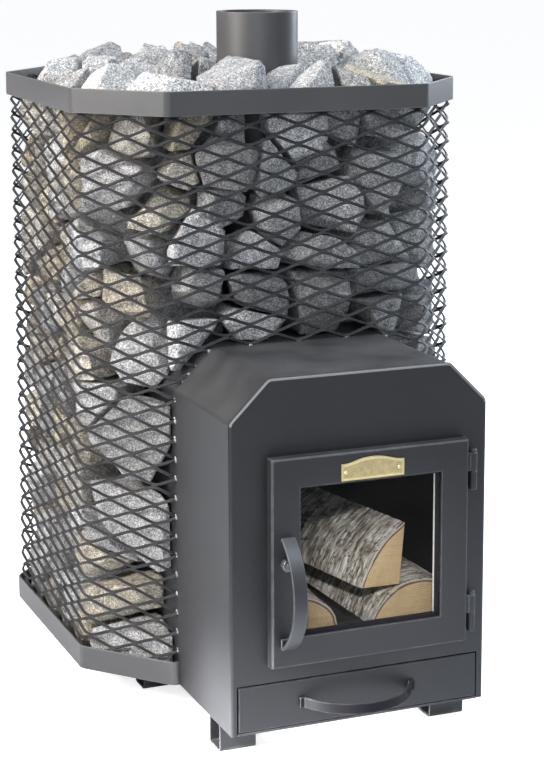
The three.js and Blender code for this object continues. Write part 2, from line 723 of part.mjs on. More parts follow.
function sideWalls(stone, random, low) {
  const { spot, heap, out, depth } = stone;
  const walls = [
    planeFrom(vector(0, 0, low), vector(0, 0, -1), 0),
    planeFrom(vector(0, 0, STONE_TOP - SEAT), vector(0, 0, 1), 0),
  ];
  const sign = heap === "left" ? -1 : 1;
  if (heap === "left" || heap === "right") {
    walls.push(planeFrom(vector(sign * wallX, 0, 0), vector(-sign, 0, 0), 0));
  } else if (heap === "front") {
    walls.push(planeFrom(vector(0, wallFront, 0), vector(0, 1, 0), 0));
    walls.push(planeFrom(vector(0, 0, TUNNEL_TOP + 2 * SEAT), vector(0, 0, -1), 0));
    walls.push(planeFrom(vector(-wallX + 2 * SEAT, 0, 0), vector(-1, 0, 0), 0));
    walls.push(planeFrom(vector(wallX - 2 * SEAT, 0, 0), vector(1, 0, 0), 0));
  } else {
    walls.push(planeFrom(vector(0, wallBack, 0), vector(0, -1, 0), 0));
    walls.push(planeFrom(vector(-wallX + 2 * SEAT, 0, 0), vector(-1, 0, 0), 0));
    walls.push(planeFrom(vector(wallX - 2 * SEAT, 0, 0), vector(1, 0, 0), 0));
  }
  const across = vector(-out.y, out.x, 0);
  const up = vector(0, 0, 1);
  const lean = () => (random() - 0.5) * 0.3;
  const face = out.clone().addScaledVector(across, lean()).addScaledVector(up, lean());
  walls.push(planeFrom(spot, face, depth * (0.8 + 0.18 * random())));
  const half = STONE_LENGTH / 2;
  const rise = STONE_HEIGHT / 2;
  for (const [sideways, upward, reach] of [[1, 0, half], [-1, 0, half], [0, 1, rise], [0, -1, rise]]) {
    const tilt = out.clone().multiplyScalar(0.75 + 0.4 * random());
    tilt.addScaledVector(across, sideways + lean()).addScaledVector(up, upward + lean());
    walls.push(planeFrom(spot, tilt, (reach + depth) * STONE_GROOVE));
  }
  return walls;
}

// Large stones fill the cage above the firebox, out of sight, and carry the heap on top.
function coreStones() {
  const random = randomFrom(23);
  const low = TUNNEL_TOP + 2 * SEAT;
  const columns = 2;
  const rows = 2;
  const courses = 2;
  const front = wallFront + SEAT;
  const wide = (2 * HALF_TUNNEL) / columns;
  const deep = (wallBack - front) / rows;
  const high = (STONE_TOP - low) / courses;
  const stones = [];
  for (let n = 0; n < columns * rows * courses; n += 1) {
    const spot = vector(
      -HALF_TUNNEL + wide * ((n % columns) + 0.5) + (random() - 0.5) * STONE_JITTER,
      front + deep * ((Math.floor(n / columns) % rows) + 0.5) + (random() - 0.5) * STONE_JITTER,
      low + high * (Math.floor(n / columns / rows) + 0.5),
    );
    stones.push({ spot, heap: "core" });
  }
  const walls = [
    planeFrom(vector(0, 0, low), vector(0, 0, -1), 0),
    planeFrom(vector(0, 0, STONE_TOP - SEAT), vector(0, 0, 1), 0),
    planeFrom(vector(0, front, 0), vector(0, -1, 0), 0),
    planeFrom(vector(0, wallBack - 2 * SEAT, 0), vector(0, 1, 0), 0),
    planeFrom(vector(HALF_TUNNEL - SEAT, 0, 0), vector(1, 0, 0), 0),
    planeFrom(vector(SEAT - HALF_TUNNEL, 0, 0), vector(-1, 0, 0), 0),
  ];
  return heapsOf(stones, (stone) => [...walls, flueSide(stone.spot)]);
}

// A stone beside the flue is cut flat where it would touch it.
function flueSide(spot) {
  const way = vector(-spot.x, FLUE_Y - spot.y, 0);
  return planeFrom(spot, way, way.length() - FLUE_RADIUS - 2 * SEAT);
}

// The heap on top: loose stones, low along the rim and rising towards the flue.
function topStones() {
  const random = randomFrom(37);
  const low = STONE_TOP + SEAT;
  const room = CAGE_DEPTH - 2 * STONE_INSET;
  const rows = Math.round(room / (TOP_STONE * Math.sin(Math.PI / 3)));
  const columns = Math.round((CAGE_WIDTH - 2 * STONE_INSET) / TOP_STONE);
  const deep = room / rows;
  const wide = (CAGE_WIDTH - 2 * STONE_INSET) / columns;
  const planes = cagePlanes();
  const jitter = () => (random() - 0.5) * 2 * STONE_JITTER;
  const stones = [];
  for (let row = 0; row < rows; row += 1) {
    for (let column = 0; column < columns; column += 1) {
      const x = STONE_INSET - CAGE_WIDTH / 2 + wide * (column + 0.25 + (row % 2) / 2) + jitter();
      const y = CAGE_FRONT + STONE_INSET + deep * (row + 0.5) + jitter();
      const spot = vector(x, y, (low + CAGE_TOP) / 2 + jitter());
      const fromRim = Math.min(...planes.map((plane) => plane.offset - plane.normal.dot(spot)));
      const isClear = fromRim > TOP_STONE / 4 && fromFlue(spot) > TOP_STONE / 4;
      if (isClear) stones.push({ spot, heap: topHeap(spot) });
    }
  }
  return heapsOf(stones, (stone) => topWalls(stone.spot, random, low));
}

const fromFlue = (spot) => Math.hypot(spot.x, spot.y - FLUE_Y) - FLUE_RADIUS;

function topHeap(spot) {
  if (spot.x < -FLUE_DIAMETER) return "top_left";
  if (spot.x > FLUE_DIAMETER) return "top_right";
  return spot.y < FLUE_Y ? "top_front" : "top_back";
}

function topWalls(spot, random, low) {
  const near = Math.max(0, 1 - fromFlue(spot) / (2 * TOP_STONE));
  const crown = CAGE_TOP + HEAP_ABOVE_RIM * (near + 0.5 * (random() - 0.5));
  const lean = () => (random() - 0.5) * 0.6;
  const walls = [
    planeFrom(vector(0, 0, low), vector(0, 0, -1), 0),
    planeFrom(vector(spot.x, spot.y, crown), vector(lean(), lean(), 1), 0),
    flueSide(spot),
  ];
  const turn = random() * Math.PI;
  for (let i = 0; i < TOP_FACETS; i += 1) {
    const angle = turn + (i * 2 * Math.PI) / TOP_FACETS;
    const tilt = vector(Math.cos(angle), Math.sin(angle), 0.6 + 0.5 * random());
    walls.push(planeFrom(spot, tilt, (TOP_STONE / 2 + crown - spot.z) * TOP_GROOVE));
  }
  return walls;
}

// Fire door
const windowOutline = (grow) => rectangle(
  DOOR_LEFT + DOOR_STILE - grow, DOOR_RIGHT - DOOR_STILE + grow,
  DOOR_BOTTOM + DOOR_STILE - grow, DOOR_TOP - DOOR_STILE + grow);

const doorOutline = (inwards) => rectangle(
  DOOR_LEFT + inwards, DOOR_RIGHT - inwards, DOOR_BOTTOM + inwards, DOOR_TOP - inwards);

function doorFrame() {
  const back = -DOOR_STANDOFF;
  const eased = easedPlate(shapeOf(doorOutline(0)), DOOR_FACE, back + DOOR_EDGE, DOOR_EDGE);
  const rear = solidOf(alongY(shapeOf(doorOutline(-1)), back, back + 2 * DOOR_EDGE));
  const pocket = solidOf(alongY(shapeOf(doorOutline(DOOR_PLATE)), DOOR_FACE + DOOR_PLATE, DOOR_DEPTH));
  const pane = solidOf(alongY(shapeOf(windowOutline(0)), 2 * DOOR_FACE, DOOR_DEPTH));
  const drill = rodAlongY(SPINDLE_DIAMETER / 2 + RUNNING, 2 * DOOR_FACE, 0, SMALL_STEPS);
  const hole = solidOf(drill.translate(SPINDLE_X, 0, SPINDLE_Z));
  const frame = solidOf(eased).subtract(rear).subtract(pocket).subtract(pane).subtract(hole);
  return named("door_frame", geometryOf(frame), blackPaint);
}

const doorRing = (outer, width, y0, y1) =>
  alongY(shapeOf(windowOutline(outer), windowOutline(outer - width)), y0, y1);

function doorGlazing() {
  const gasketFront = DOOR_FACE + DOOR_PLATE + SEAT;
  const glassFront = gasketFront + GASKET_THICKNESS + SEAT;
  const retainerFront = glassFront + GLASS_THICKNESS + SEAT;
  const gasket = doorRing(GLASS_LAP, GASKET_WIDTH, gasketFront, gasketFront + GASKET_THICKNESS);
  const pane = alongY(shapeOf(windowOutline(GLASS_LAP)), glassFront, glassFront + GLASS_THICKNESS);
  const retainer = doorRing(GLASS_LAP, RETAINER_WIDTH, retainerFront, retainerFront + RETAINER_THICKNESS);
  return [
    named("glass_gasket", gasket, whiteRope),
    named("door_glass", pane, ceramicGlass),
    named("glass_retainer", retainer, barePlate),
  ];
}

function doorSeal() {
  const outer = DOOR_PLATE + SEAT;
  const ring = shapeOf(
    rounded(doorOutline(outer), SEAL_WIDTH + SEAL_ROUND),
    rounded(doorOutline(outer + SEAL_WIDTH), SEAL_ROUND),
  );
  const rope = alongY(ring, DOOR_FACE + DOOR_PLATE + SEAT, -SEAT);
  return named("door_seal", rope, greyRope);
}

// The arched plate is left bare inside its raised rim.
function nameplateOutline(inwards) {
  const half = NAMEPLATE_WIDTH / 2 - inwards;
  const low = inwards;
  const eaves = NAMEPLATE_HEIGHT - inwards;
  const shape = new THREE.Shape().moveTo(-half, low).lineTo(half, low).lineTo(half, eaves);
  shape.bezierCurveTo(half * 0.6, eaves, half * 0.5, eaves + NAMEPLATE_CROWN, 0, eaves + NAMEPLATE_CROWN);
  shape.bezierCurveTo(-half * 0.5, eaves + NAMEPLATE_CROWN, -half * 0.6, eaves, -half, eaves);
  return shape.getPoints(6).slice(0, -1);
}

function nameplate() {
  const back = DOOR_FACE - SEAT;
  const sheet = alongY(shapeOf(nameplateOutline(0)), back - NAMEPLATE_THICKNESS, back);
  const rim = alongY(shapeOf(nameplateOutline(0), nameplateOutline(NAMEPLATE_RIM)),
    back - NAMEPLATE_THICKNESS - NAMEPLATE_RAISE, back - NAMEPLATE_THICKNESS / 2);
  const mesh = named("nameplate", geometryOf(joined(sheet, rim)), brass);
  mesh.position.set(DOOR_SHIFT, 0, DOOR_TOP - DOOR_STILE + NAMEPLATE_RISE);
  return mesh;
}

// Hinges: the knuckle below is welded to the front plate, the one above to the door.
const onHinge = (geometry) => solidOf(geometry.translate(HINGE_X, HINGE_Y, 0));

const hingeRod = (radius, z0, z1) => onHinge(rod(radius, z0, z1, SMALL_STEPS));

function frameKnuckle(name, z) {
  const low = z - KNUCKLE_LENGTH;
  const high = z - HINGE_GAP / 2;
  const barrel = hingeRod(KNUCKLE_DIAMETER / 2, low, high);
  const half = KNUCKLE_WEB / 2;
  const web = solidOf(block(HINGE_X - half, HINGE_X + half, HINGE_Y, -SEAT, low, high));
  const bore = hingeRod(PIN_DIAMETER / 2 + RUNNING, low - KNUCKLE_LENGTH, z);
  return named(name, geometryOf(barrel.add(web).subtract(bore)), blackPaint);
}

const hingePin = (name, z) =>
  named(name, geometryOf(hingeRod(PIN_DIAMETER / 2, z - PIN_GRIP, z + PIN_GRIP)), turnedSteel);

// The door's knuckle ends in a turned ball.
function doorKnuckle(name, z) {
  const radius = KNUCKLE_DIAMETER / 2;
  const low = z + HINGE_GAP / 2;
  const top = z + KNUCKLE_LENGTH;
  const profile = [
    point(0, low), point(radius, low), point(radius, top),
    point(radius * 0.6, top + FINIAL_HEIGHT * 0.15),
    point(radius * 0.85, top + FINIAL_HEIGHT * 0.45),
    point(radius * 0.6, top + FINIAL_HEIGHT * 0.85),
    point(0, top + FINIAL_HEIGHT),
  ];
  const turned = onHinge(new THREE.LatheGeometry(profile, SMALL_STEPS).rotateX(Math.PI / 2));
  const half = KNUCKLE_WEB / 2;
  const web = solidOf(block(DOOR_RIGHT + SEAT, HINGE_X, HINGE_Y - half, HINGE_Y + half, low, top - half / 2));
  const bore = hingeRod(PIN_DIAMETER / 2 + RUNNING, z - PIN_GRIP, z + PIN_GRIP + RUNNING);
  return named(name, geometryOf(turned.add(web).subtract(bore)), blackPaint);
}

const upperHinge = DOOR_TOP - HINGE_UPPER_FROM_TOP;
const lowerHinge = DOOR_BOTTOM + HINGE_LOWER_FROM_BOTTOM;

// Points of an arc that bows away from its chord, from one end of the span to the other.
function bowLine(span, bow, steps) {
  const radius = ((span * span) / 4 + bow * bow) / (2 * bow);
  const half = Math.asin(span / 2 / radius);
  return Array.from({ length: steps + 1 }, (_, i) => {
    const angle = half * ((2 * i) / steps - 1);
    return point(radius * Math.sin(angle), radius * Math.cos(angle) - (radius - bow));
  });
}

// Door handle: a strap bowed away from the door, its lower end folded back to the door as a foot.
function handleStrap() {
  const near = DOOR_FACE - STRAP_STANDOFF - STRAP_THICKNESS / 2;
  const bow = bowLine(STRAP_LENGTH, STRAP_BOW, STRAP_STEPS);
  const arc = bow.map((spot) => point(near - spot.y, STRAP_MIDDLE + spot.x));
  const line = [point(near, STRAP_BOTTOM + STRAP_TAIL), point(near, STRAP_BOTTOM), ...arc.slice(1)];
  const section = shapeOf(ribbon(line, STRAP_THICKNESS));
  const half = STRAP_WIDTH / 2;
  return named("handle_strap", alongX(section, SPINDLE_X - half, SPINDLE_X + half), blackPaint);
}

// Where the spindle meets the back of the bowed strap.
function strapBackY() {
  const radius = ((STRAP_LENGTH * STRAP_LENGTH) / 4 + STRAP_BOW * STRAP_BOW) / (2 * STRAP_BOW);
  const high = SPINDLE_ABOVE_STRAP_MIDDLE + SPINDLE_DIAMETER / 2;
  const bow = Math.sqrt(radius * radius - high * high) - (radius - STRAP_BOW);
  return DOOR_FACE - STRAP_STANDOFF - bow + STRAP_THICKNESS / 4;
}

const camFront = FRONT_THICKNESS + CAM_PLAY;
const nutFront = camFront + CAM_THICKNESS + SEAT;

function handleSpindle() {
  const bar = rodAlongY(SPINDLE_DIAMETER / 2, strapBackY(), nutFront + NUT_THICKNESS + 2, SMALL_STEPS);
  return named("handle_spindle", bar.translate(SPINDLE_X, 0, SPINDLE_Z), turnedSteel);
}

const hexagon = (across) => Array.from({ length: 6 }, (_, i) =>
  point(across / Math.sqrt(3), 0).rotateAround(point(0, 0), (i * Math.PI) / 3));

function onSpindle(name, outline, y0, y1, material) {
  const bore = circle(SPINDLE_DIAMETER / 2 + RUNNING, SMALL_STEPS);
  const mesh = named(name, alongY(shapeOf(outline, bore), y0, y1), material);
  mesh.position.set(SPINDLE_X, 0, SPINDLE_Z);
  return mesh;
}

function latchCam() {
  const half = CAM_WIDTH / 2;
  const nose = rounded([
    point(half, -half), point(half, half), point(-CAM_REACH, half * 0.7), point(-CAM_REACH, -half * 0.7),
  ], 2.5, 2);
  return onSpindle("latch_cam", nose, camFront, camFront + CAM_THICKNESS, barePlate);
}

function handleBush() {
  const back = DOOR_FACE - SEAT;
  return onSpindle("handle_bush", hexagon(BUSH_ACROSS), back - BUSH_LENGTH, back, turnedSteel);
}

const spindleNut = () =>
  onSpindle("spindle_nut", hexagon(NUT_ACROSS), nutFront, nutFront + NUT_THICKNESS, barePlate);

// Ash drawer
function drawerFront() {
  const panel = shapeOf(rectangle(-DRAWER_WIDTH / 2, DRAWER_WIDTH / 2, DRAWER_BOTTOM, DRAWER_TOP));
  return named("drawer_front", easedPlate(panel, 0, FRONT_THICKNESS, DRAWER_EDGE), blackPaint);
}

const trayHalf = INNER_HALF - GUIDE_WIDTH - 4 * SEAT;

function ashTray() {
  const front = FRONT_THICKNESS + SEAT;
  const back = front + TRAY_LENGTH;
  const top = DRAWER_BOTTOM + TRAY_HEIGHT;
  const tub = solidOf(block(-trayHalf, trayHalf, front, back, DRAWER_BOTTOM, top));
  const room = solidOf(block(TRAY_WALL - trayHalf, trayHalf - TRAY_WALL, front + TRAY_WALL, back - TRAY_WALL,
    DRAWER_BOTTOM + TRAY_WALL, top + TRAY_WALL));
  return named("ash_tray", geometryOf(tub.subtract(room)), barePlate);
}

function drawerPull() {
  const near = -SEAT - PULL_THICKNESS / 2;
  const bow = bowLine(PULL_SPAN, PULL_BOW, PULL_STEPS);
  const arc = bow.map((spot) => point(spot.x + PULL_SHIFT, near - spot.y));
  const line = [arc[0].clone().add(point(-PULL_TAB, 0)), ...arc, arc.at(-1).clone().add(point(PULL_TAB, 0))];
  const section = shapeOf(ribbon(line, PULL_THICKNESS));
  const low = (DRAWER_BOTTOM + DRAWER_TOP - PULL_HEIGHT) / 2;
  return named("drawer_pull", alongZ(section, low, low + PULL_HEIGHT), blackPaint);
}

function drawerGuide(side, sign) {
  const edges = [sign * innerHalf, sign * (innerHalf - GUIDE_WIDTH)].sort((a, b) => a - b);
  const z = FLOOR_TOP + SEAT;
  const bar = block(...edges, SHELL_FRONT + DRAWER_GAP, SHELL_FRONT + TRAY_LENGTH, z, z + GUIDE_HEIGHT);
  return named(`drawer_guide_${side}`, bar, barePlate);
}

// Firewood: split logs on the grate, bark outside, ends towards the door.
function splitLog(name, outline, x, z, turn) {
  const mesh = named(name, alongY(shapeOf(outline), 0, LOG_LENGTH), firewood);
  mesh.position.set(x, LOG_FRONT, z);
  mesh.rotation.set(0, 0, turn);
  return mesh;
}

const barkArc = (radius, from, to, steps) => Array.from({ length: steps + 1 }, (_, i) => {
  const angle = from + ((to - from) * i) / steps;
  return point(radius * Math.cos(angle), radius * Math.sin(angle));
});

// The large quarter log lies across the crowns of two half-round ones.
function firewoodLoad() {
  const low = GRATE_TOP + SEAT;
  const half = barkArc(LOG_RADIUS, 0, Math.PI, 10);
  const quarter = [point(0, 0), ...barkArc(BIG_LOG_RADIUS, Math.PI / 2, Math.PI, 6)];
  return [
    splitLog("log_right", half, 2 * LOG_RADIUS, low, 0.04),
    splitLog("log_left", half, -0.8 * LOG_RADIUS, low, -0.03),
    splitLog("log_top", quarter, 2.16 * LOG_RADIUS, low + LOG_RADIUS + SEAT, 0.2),
  ];
}

// Whole stove
function stove() {
  const fireDoor = assembly("fire_door",
    doorFrame(), ...doorGlazing(), doorSeal(), nameplate(),
    doorKnuckle("door_knuckle_upper", upperHinge), doorKnuckle("door_knuckle_lower", lowerHinge),
    handleBush(),
    assembly("door_latch", handleStrap(), handleSpindle(), latchCam(), spindleNut()));
  const ashDrawer = assembly("ash_drawer", drawerFront(), ashTray(), drawerPull());
  const firebox = assembly("firebox",
    frontPlate(), fireboxShell(), fireboxBack(), bottomPlate(), hearthPlate(), fireGrate(),
    bafflePlate(), baffleLedge("left", -1), baffleLedge("right", 1), flueStub(),
    drawerGuide("left", -1), drawerGuide("right", 1),
    frameKnuckle("frame_knuckle_upper", upperHinge), frameKnuckle("frame_knuckle_lower", lowerHinge),
    hingePin("hinge_pin_upper", upperHinge), hingePin("hinge_pin_lower", lowerHinge), ...feet());
  const cage = assembly("stone_cage", topBand(), bottomBand(), cageFloor(), cageMesh());
  const stones = assembly("stones", ...sideStones(), ...coreStones(), ...topStones());
  const load = assembly("firewood", ...firewoodLoad());
  const whole = assembly("sauna_stove", firebox, cage, stones, load, fireDoor, ashDrawer);
  const reach = DOOR_DEPTH + STRAP_STANDOFF + STRAP_BOW + STRAP_THICKNESS;
  whole.position.set(0, (reach - CAGE_BACK) / 2, 0);
  return whole;
}

export default stove();
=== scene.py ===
"""A wood-burning sauna stove with a stone cage: its looks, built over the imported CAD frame.

The file is laid out as an add-on and run as a script. Each operator models one piece or a group
of like pieces, and main() calls them in order. Lengths are in metres, in the CAD model's frame.
"""

import json
import math
import random

import bmesh
import bpy
import numpy as np
from bpy.props import FloatProperty, FloatVectorProperty, IntProperty, PointerProperty
from bpy.types import Operator, Panel, PropertyGroup
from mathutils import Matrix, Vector, noise

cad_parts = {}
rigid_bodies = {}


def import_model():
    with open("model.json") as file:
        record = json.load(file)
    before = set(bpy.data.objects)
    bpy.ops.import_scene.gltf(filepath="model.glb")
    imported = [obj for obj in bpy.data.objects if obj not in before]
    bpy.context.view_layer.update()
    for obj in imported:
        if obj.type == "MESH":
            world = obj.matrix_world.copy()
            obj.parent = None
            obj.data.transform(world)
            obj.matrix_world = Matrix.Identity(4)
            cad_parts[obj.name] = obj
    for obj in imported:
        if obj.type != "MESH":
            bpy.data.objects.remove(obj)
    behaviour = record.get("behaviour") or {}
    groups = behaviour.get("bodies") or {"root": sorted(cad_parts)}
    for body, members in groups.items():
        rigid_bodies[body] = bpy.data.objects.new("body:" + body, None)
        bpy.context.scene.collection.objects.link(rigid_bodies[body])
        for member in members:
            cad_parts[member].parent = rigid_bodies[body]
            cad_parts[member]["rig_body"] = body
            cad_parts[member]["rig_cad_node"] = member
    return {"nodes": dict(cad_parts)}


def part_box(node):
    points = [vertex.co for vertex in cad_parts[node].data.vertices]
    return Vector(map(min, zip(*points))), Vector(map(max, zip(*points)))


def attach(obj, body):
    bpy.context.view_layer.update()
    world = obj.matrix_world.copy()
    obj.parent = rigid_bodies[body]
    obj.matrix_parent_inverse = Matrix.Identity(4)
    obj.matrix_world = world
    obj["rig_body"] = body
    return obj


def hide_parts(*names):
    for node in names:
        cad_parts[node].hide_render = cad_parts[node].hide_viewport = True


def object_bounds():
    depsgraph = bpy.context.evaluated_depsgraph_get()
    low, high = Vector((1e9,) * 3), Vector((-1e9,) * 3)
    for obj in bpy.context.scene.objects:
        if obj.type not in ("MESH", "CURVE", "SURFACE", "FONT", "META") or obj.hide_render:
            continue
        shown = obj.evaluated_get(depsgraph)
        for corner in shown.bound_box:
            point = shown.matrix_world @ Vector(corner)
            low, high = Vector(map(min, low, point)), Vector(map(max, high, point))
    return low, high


bl_info = {
    "name": "Sauna stove looks",
    "version": (1, 0, 0),
    "blender": (4, 5, 0),
    "location": "View3D > Sidebar > Stove",
    "description": "Models the visible pieces of a wood-burning sauna stove over its CAD frame",
    "category": "Add Mesh",
}

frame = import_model()
CAD_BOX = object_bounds()

MERGE = 1e-5
SELECT_MODES = {"verts": "VERT", "edges": "EDGE", "faces": "FACE"}
WORD = 0xFFFFFFFF
FINISHES = {}


# Sizes and colours that a user would change


def number(name, description, default, kind=FloatProperty, **more):
    return kind(name=name, description=description, default=default, **more)


def length(name, description, default):
    return number(name, description, default, min=0.0, unit="LENGTH")


def power(name, description, default):
    return number(name, description, default, min=0.0, unit="POWER")


def paint(name, description, default):
    return number(name, description, default, FloatVectorProperty, size=3, min=0.0, max=1.0, subtype="COLOR")


class CageSizes(PropertyGroup):
    front_flat: length("Front flat", "Width of the cage's front and back faces", 0.378)
    side_flat: length("Side flat", "Length of the cage's side faces", 0.340)
    bend: length("Bend", "Radius of the cage's upright bends", 0.015)
    band_thickness: length("Band", "Thickness of the two bands", 0.003)
    mesh_columns: number("Diamonds", "Mesh diamonds round the cage", 28, IntProperty, min=8)
    mesh_rows: number("Strands", "Mesh strands up the cage", 59, IntProperty, min=4)
    mesh_short: length("Diamond height", "Height of one mesh diamond", 0.02694)
    mesh_inset: length("Mesh inset", "Middle of the mesh inside the cage's outer faces", 0.0072)
    knot_height: length("Knot height", "Height of the knot in the middle of the front", 0.8015)
    strand_width: length("Strand width", "Width of the slit strand", 0.0039)
    strand_thickness: length("Strand thickness", "Thickness of the sheet", 0.0022)
    strand_lean: number("Strand lean", "Lean of a strand", math.radians(42), subtype="ANGLE")
    bond_length: length("Bond", "Length over which two strands stay joined", 0.006)


class StoneSizes(PropertyGroup):
    row_height: length("Course height", "Mean height of a stone", 0.0575)
    shortest: length("Shortest", "Least length of a stone along the cage", 0.054)
    longest: length("Longest", "Greatest length of a stone along the cage", 0.104)
    gap: length("Gap", "Mean gap between stones", 0.0085)
    inset: length("Inset", "Stone faces inside the cage's outer faces", 0.0122)
    top_inset: length("Rim inset", "Top stones inside the cage's outer faces", 0.0101)
    top_pitch: length("Top pitch", "Spacing of the stones over the rim", 0.098)
    top_jitter: length("Top jitter", "Chance shift of a stone over the rim", 0.011)
    top_rise: length("Top rise", "Rise of the heap above the rim", 0.033)
    top_shoulder: length("Top shoulder", "How far inside the rim the heap reaches its full height", 0.085)
    top_bed: length("Top bed", "Depth below the rim at which the top stones lie", 0.030)
    top_broken: number("Broken", "Share of top stones in two", 0.7)
    detail: number("Detail", "Subdivision of each stone", 3, IntProperty, min=1, max=4)
    seed: number("Seed", "Which heap of stones", 11, IntProperty)


class StoveColours(PropertyGroup):
    heat_paint: paint("Heat paint", "Satin paint of the firebox", (0.015, 0.015, 0.0175))
    cage_paint: paint("Cage paint", "Satin paint of the cage and flue", (0.058, 0.057, 0.059))
    mesh_paint: paint("Mesh paint", "Paint of the mesh and of the drawer's pull", (0.008, 0.008, 0.010))
    # Paler paint on the rounded upper edge of the front plate: a painted highlight
    ground_edge: paint("Ground edge", "Upper edge of the front plate", (0.22, 0.22, 0.23))
    strap_paint: paint("Strap paint", "Paint of the door handle", (0.021, 0.022, 0.027))
    worn_edge: paint("Worn edge", "Paint rubbed thin along the edges", (0.30, 0.30, 0.31))
    granite_light: paint("Feldspar", "Light grains of the stones", (0.80, 0.80, 0.80))
    granite_mid: paint("Quartz", "Grey grains of the stones", (0.34, 0.34, 0.35))
    granite_dark: paint("Mica", "Dark grains of the stones", (0.040, 0.040, 0.045))
    granite_warm: paint("Warm stone", "Tint of the tan stones", (1.0, 0.87, 0.61))
    brass: paint("Brass", "Cast brass of the nameplate", (0.95, 0.77, 0.42))
    bark_pale: paint("Pale bark", "Flakes of the bark", (0.71, 0.63, 0.51))
    bark_dark: paint("Dark bark", "Cracks of the bark", (0.05, 0.035, 0.025))
    wood: paint("Split wood", "Cut ends and split faces", (0.62, 0.45, 0.25))


class StageSettings(PropertyGroup):
    key_power: power("Key", "Warm light from the left", 180.0)
    front_power: power("Front", "Light from the front", 12.0)
    top_power: power("Top", "Cool light from above", 12.0)
    rim_power: power("Rim", "Cool light from the right", 75.0)
    fill_power: power("Fill", "Cool light from above the front", 60.0)
    window_power: power("Window", "Beam into the window", 230.0)
    floor_power: power("Floor", "Beam on the floor by the stove", 450.0)
    far_power: power("Far floor", "Lamp over the floor behind", 900.0)
    low_power: power("Low", "Beam on the foot of the left wall", 430.0)
    sky: number("Sky", "Strength of the white surroundings", 0.26)
    floor_glow: number("Floor glow", "Lift of the white floor", 0.75)
    flag_start: length("Flag", "Where the grey flag in front begins", 0.90)
    lens: number("Lens", "Focal length of the camera", 92.58, unit="CAMERA")


# Selecting and editing


def clear_selection():
    """Leaves edit mode and deselects every object."""
    active = bpy.context.view_layer.objects.active
    if active is not None and active.mode != "OBJECT":
        bpy.ops.object.mode_set(mode="OBJECT")
    bpy.ops.object.select_all(action="DESELECT")


def take(*objects):
    """Selects these objects alone, the first one active."""
    clear_selection()
    for obj in objects:
        obj.select_set(True)
    bpy.context.view_layer.objects.active = objects[0]


def edit(obj):
    """Opens the object in edit mode with everything selected."""
    take(obj)
    bpy.ops.object.mode_set(mode="EDIT")
    bpy.ops.mesh.select_mode(type="VERT")
    bpy.ops.mesh.select_all(action="SELECT")


def leave_edit():
    bpy.ops.object.mode_set(mode="OBJECT")


def pick(obj, kind, test):
    """Selects the verts, edges or faces in edit mode that pass the test, and no others."""
    bpy.ops.mesh.select_mode(type=SELECT_MODES[kind])
    bpy.ops.mesh.select_all(action="DESELECT")
    shape = bmesh.from_edit_mesh(obj.data)
    for item in getattr(shape, kind):
        if test(item):
            item.select_set(True)
    shape.select_flush_mode()
    bmesh.update_edit_mesh(obj.data)


def extrude(offset):
    bpy.ops.mesh.extrude_region_move(TRANSFORM_OT_translate={"value": tuple(offset)})


def merge_and_face_out():
    """Closes seams and turns the faces outwards, in edit mode."""
    bpy.ops.mesh.select_all(action="SELECT")
    bpy.ops.mesh.remove_doubles(threshold=MERGE)
    bpy.ops.mesh.normals_make_consistent(inside=False)


def add(kind, name, **settings):
    """Adds a mesh primitive, alone selected."""
    clear_selection()
    getattr(bpy.ops.mesh, f"primitive_{kind}_add")(**settings)
    obj = bpy.context.object
    obj.name = name
    return obj


def outline(name, points, closed=True):
    """An edge line through the points, from a circle with as many corners. Ends in object mode."""
    obj = add("circle", name, vertices=len(points), radius=1.0, fill_type="NOTHING")
    for vertex, spot in zip(obj.data.vertices, points):
        vertex.co = spot
    if not closed:
        last = len(points) - 1
        edit(obj)
        pick(obj, "edges", lambda edge: {v.index for v in edge.verts} == {0, last})
        bpy.ops.mesh.delete(type="EDGE")
        leave_edit()
    return obj


def face_away(obj, centre):
    """Turns an open wall's faces away from an upright axis."""
    edit(obj)
    bpy.ops.mesh.normals_make_consistent(inside=False)
    leave_edit()
    first = obj.data.polygons[0]
    if first.normal.dot(first.center - Vector((*centre, first.center.z))) < 0.0:
        edit(obj)
        bpy.ops.mesh.flip_normals()
        leave_edit()


def ribbon(name, line, offset):
    """A bent strap: an edge line drawn out to its width, given thickness and eased."""
    obj = outline(name, line, closed=False)
    edit(obj)
    extrude(offset)
    leave_edit()
    modify(obj, "SOLIDIFY", thickness=STRAP_THICKNESS, offset=0.0, use_even_offset=True)
    edit(obj)
    merge_and_face_out()
    leave_edit()
    ease_edges(obj, STRAP_EASE, 2, 40.0)
    return obj


def turned(name, profile, spot, steps=32):
    """A turned piece: a profile of (radius, height) spun round an upright axis."""
    x, y = spot
    obj = outline(name, [(x + radius, y, height) for radius, height in profile], closed=False)
    edit(obj)
    bpy.ops.mesh.spin(steps=steps, angle=2.0 * math.pi, center=(x, y, 0.0), axis=(0.0, 0.0, 1.0))
    merge_and_face_out()
    leave_edit()
    soften_shading(obj)
    return obj


def eased_block(name, low, high, ease):
    obj = add("cube", name, size=1.0, location=[(a + b) / 2 for a, b in zip(low, high)])
    obj.scale = [b - a for a, b in zip(low, high)]
    settle(obj)
    ease_edges(obj, ease)
    return obj


def modify(obj, kind, **settings):
    """Adds a modifier and applies it."""
    modifier = obj.modifiers.new(kind.lower(), kind)
    for key, value in settings.items():
        setattr(modifier, key, value)
    take(obj)
    bpy.ops.object.modifier_apply(modifier=modifier.name)


def soften_shading(obj):
    """Smooth shading that keeps the large faces flat."""
    take(obj)
    bpy.ops.object.shade_smooth()
    modify(obj, "WEIGHTED_NORMAL", keep_sharp=False, weight=50)


def ease_edges(obj, width, segments=2, angle=30.0):
    modify(obj, "BEVEL", width=width, segments=segments, limit_method="ANGLE",
           angle_limit=math.radians(angle), use_clamp_overlap=True)
    soften_shading(obj)


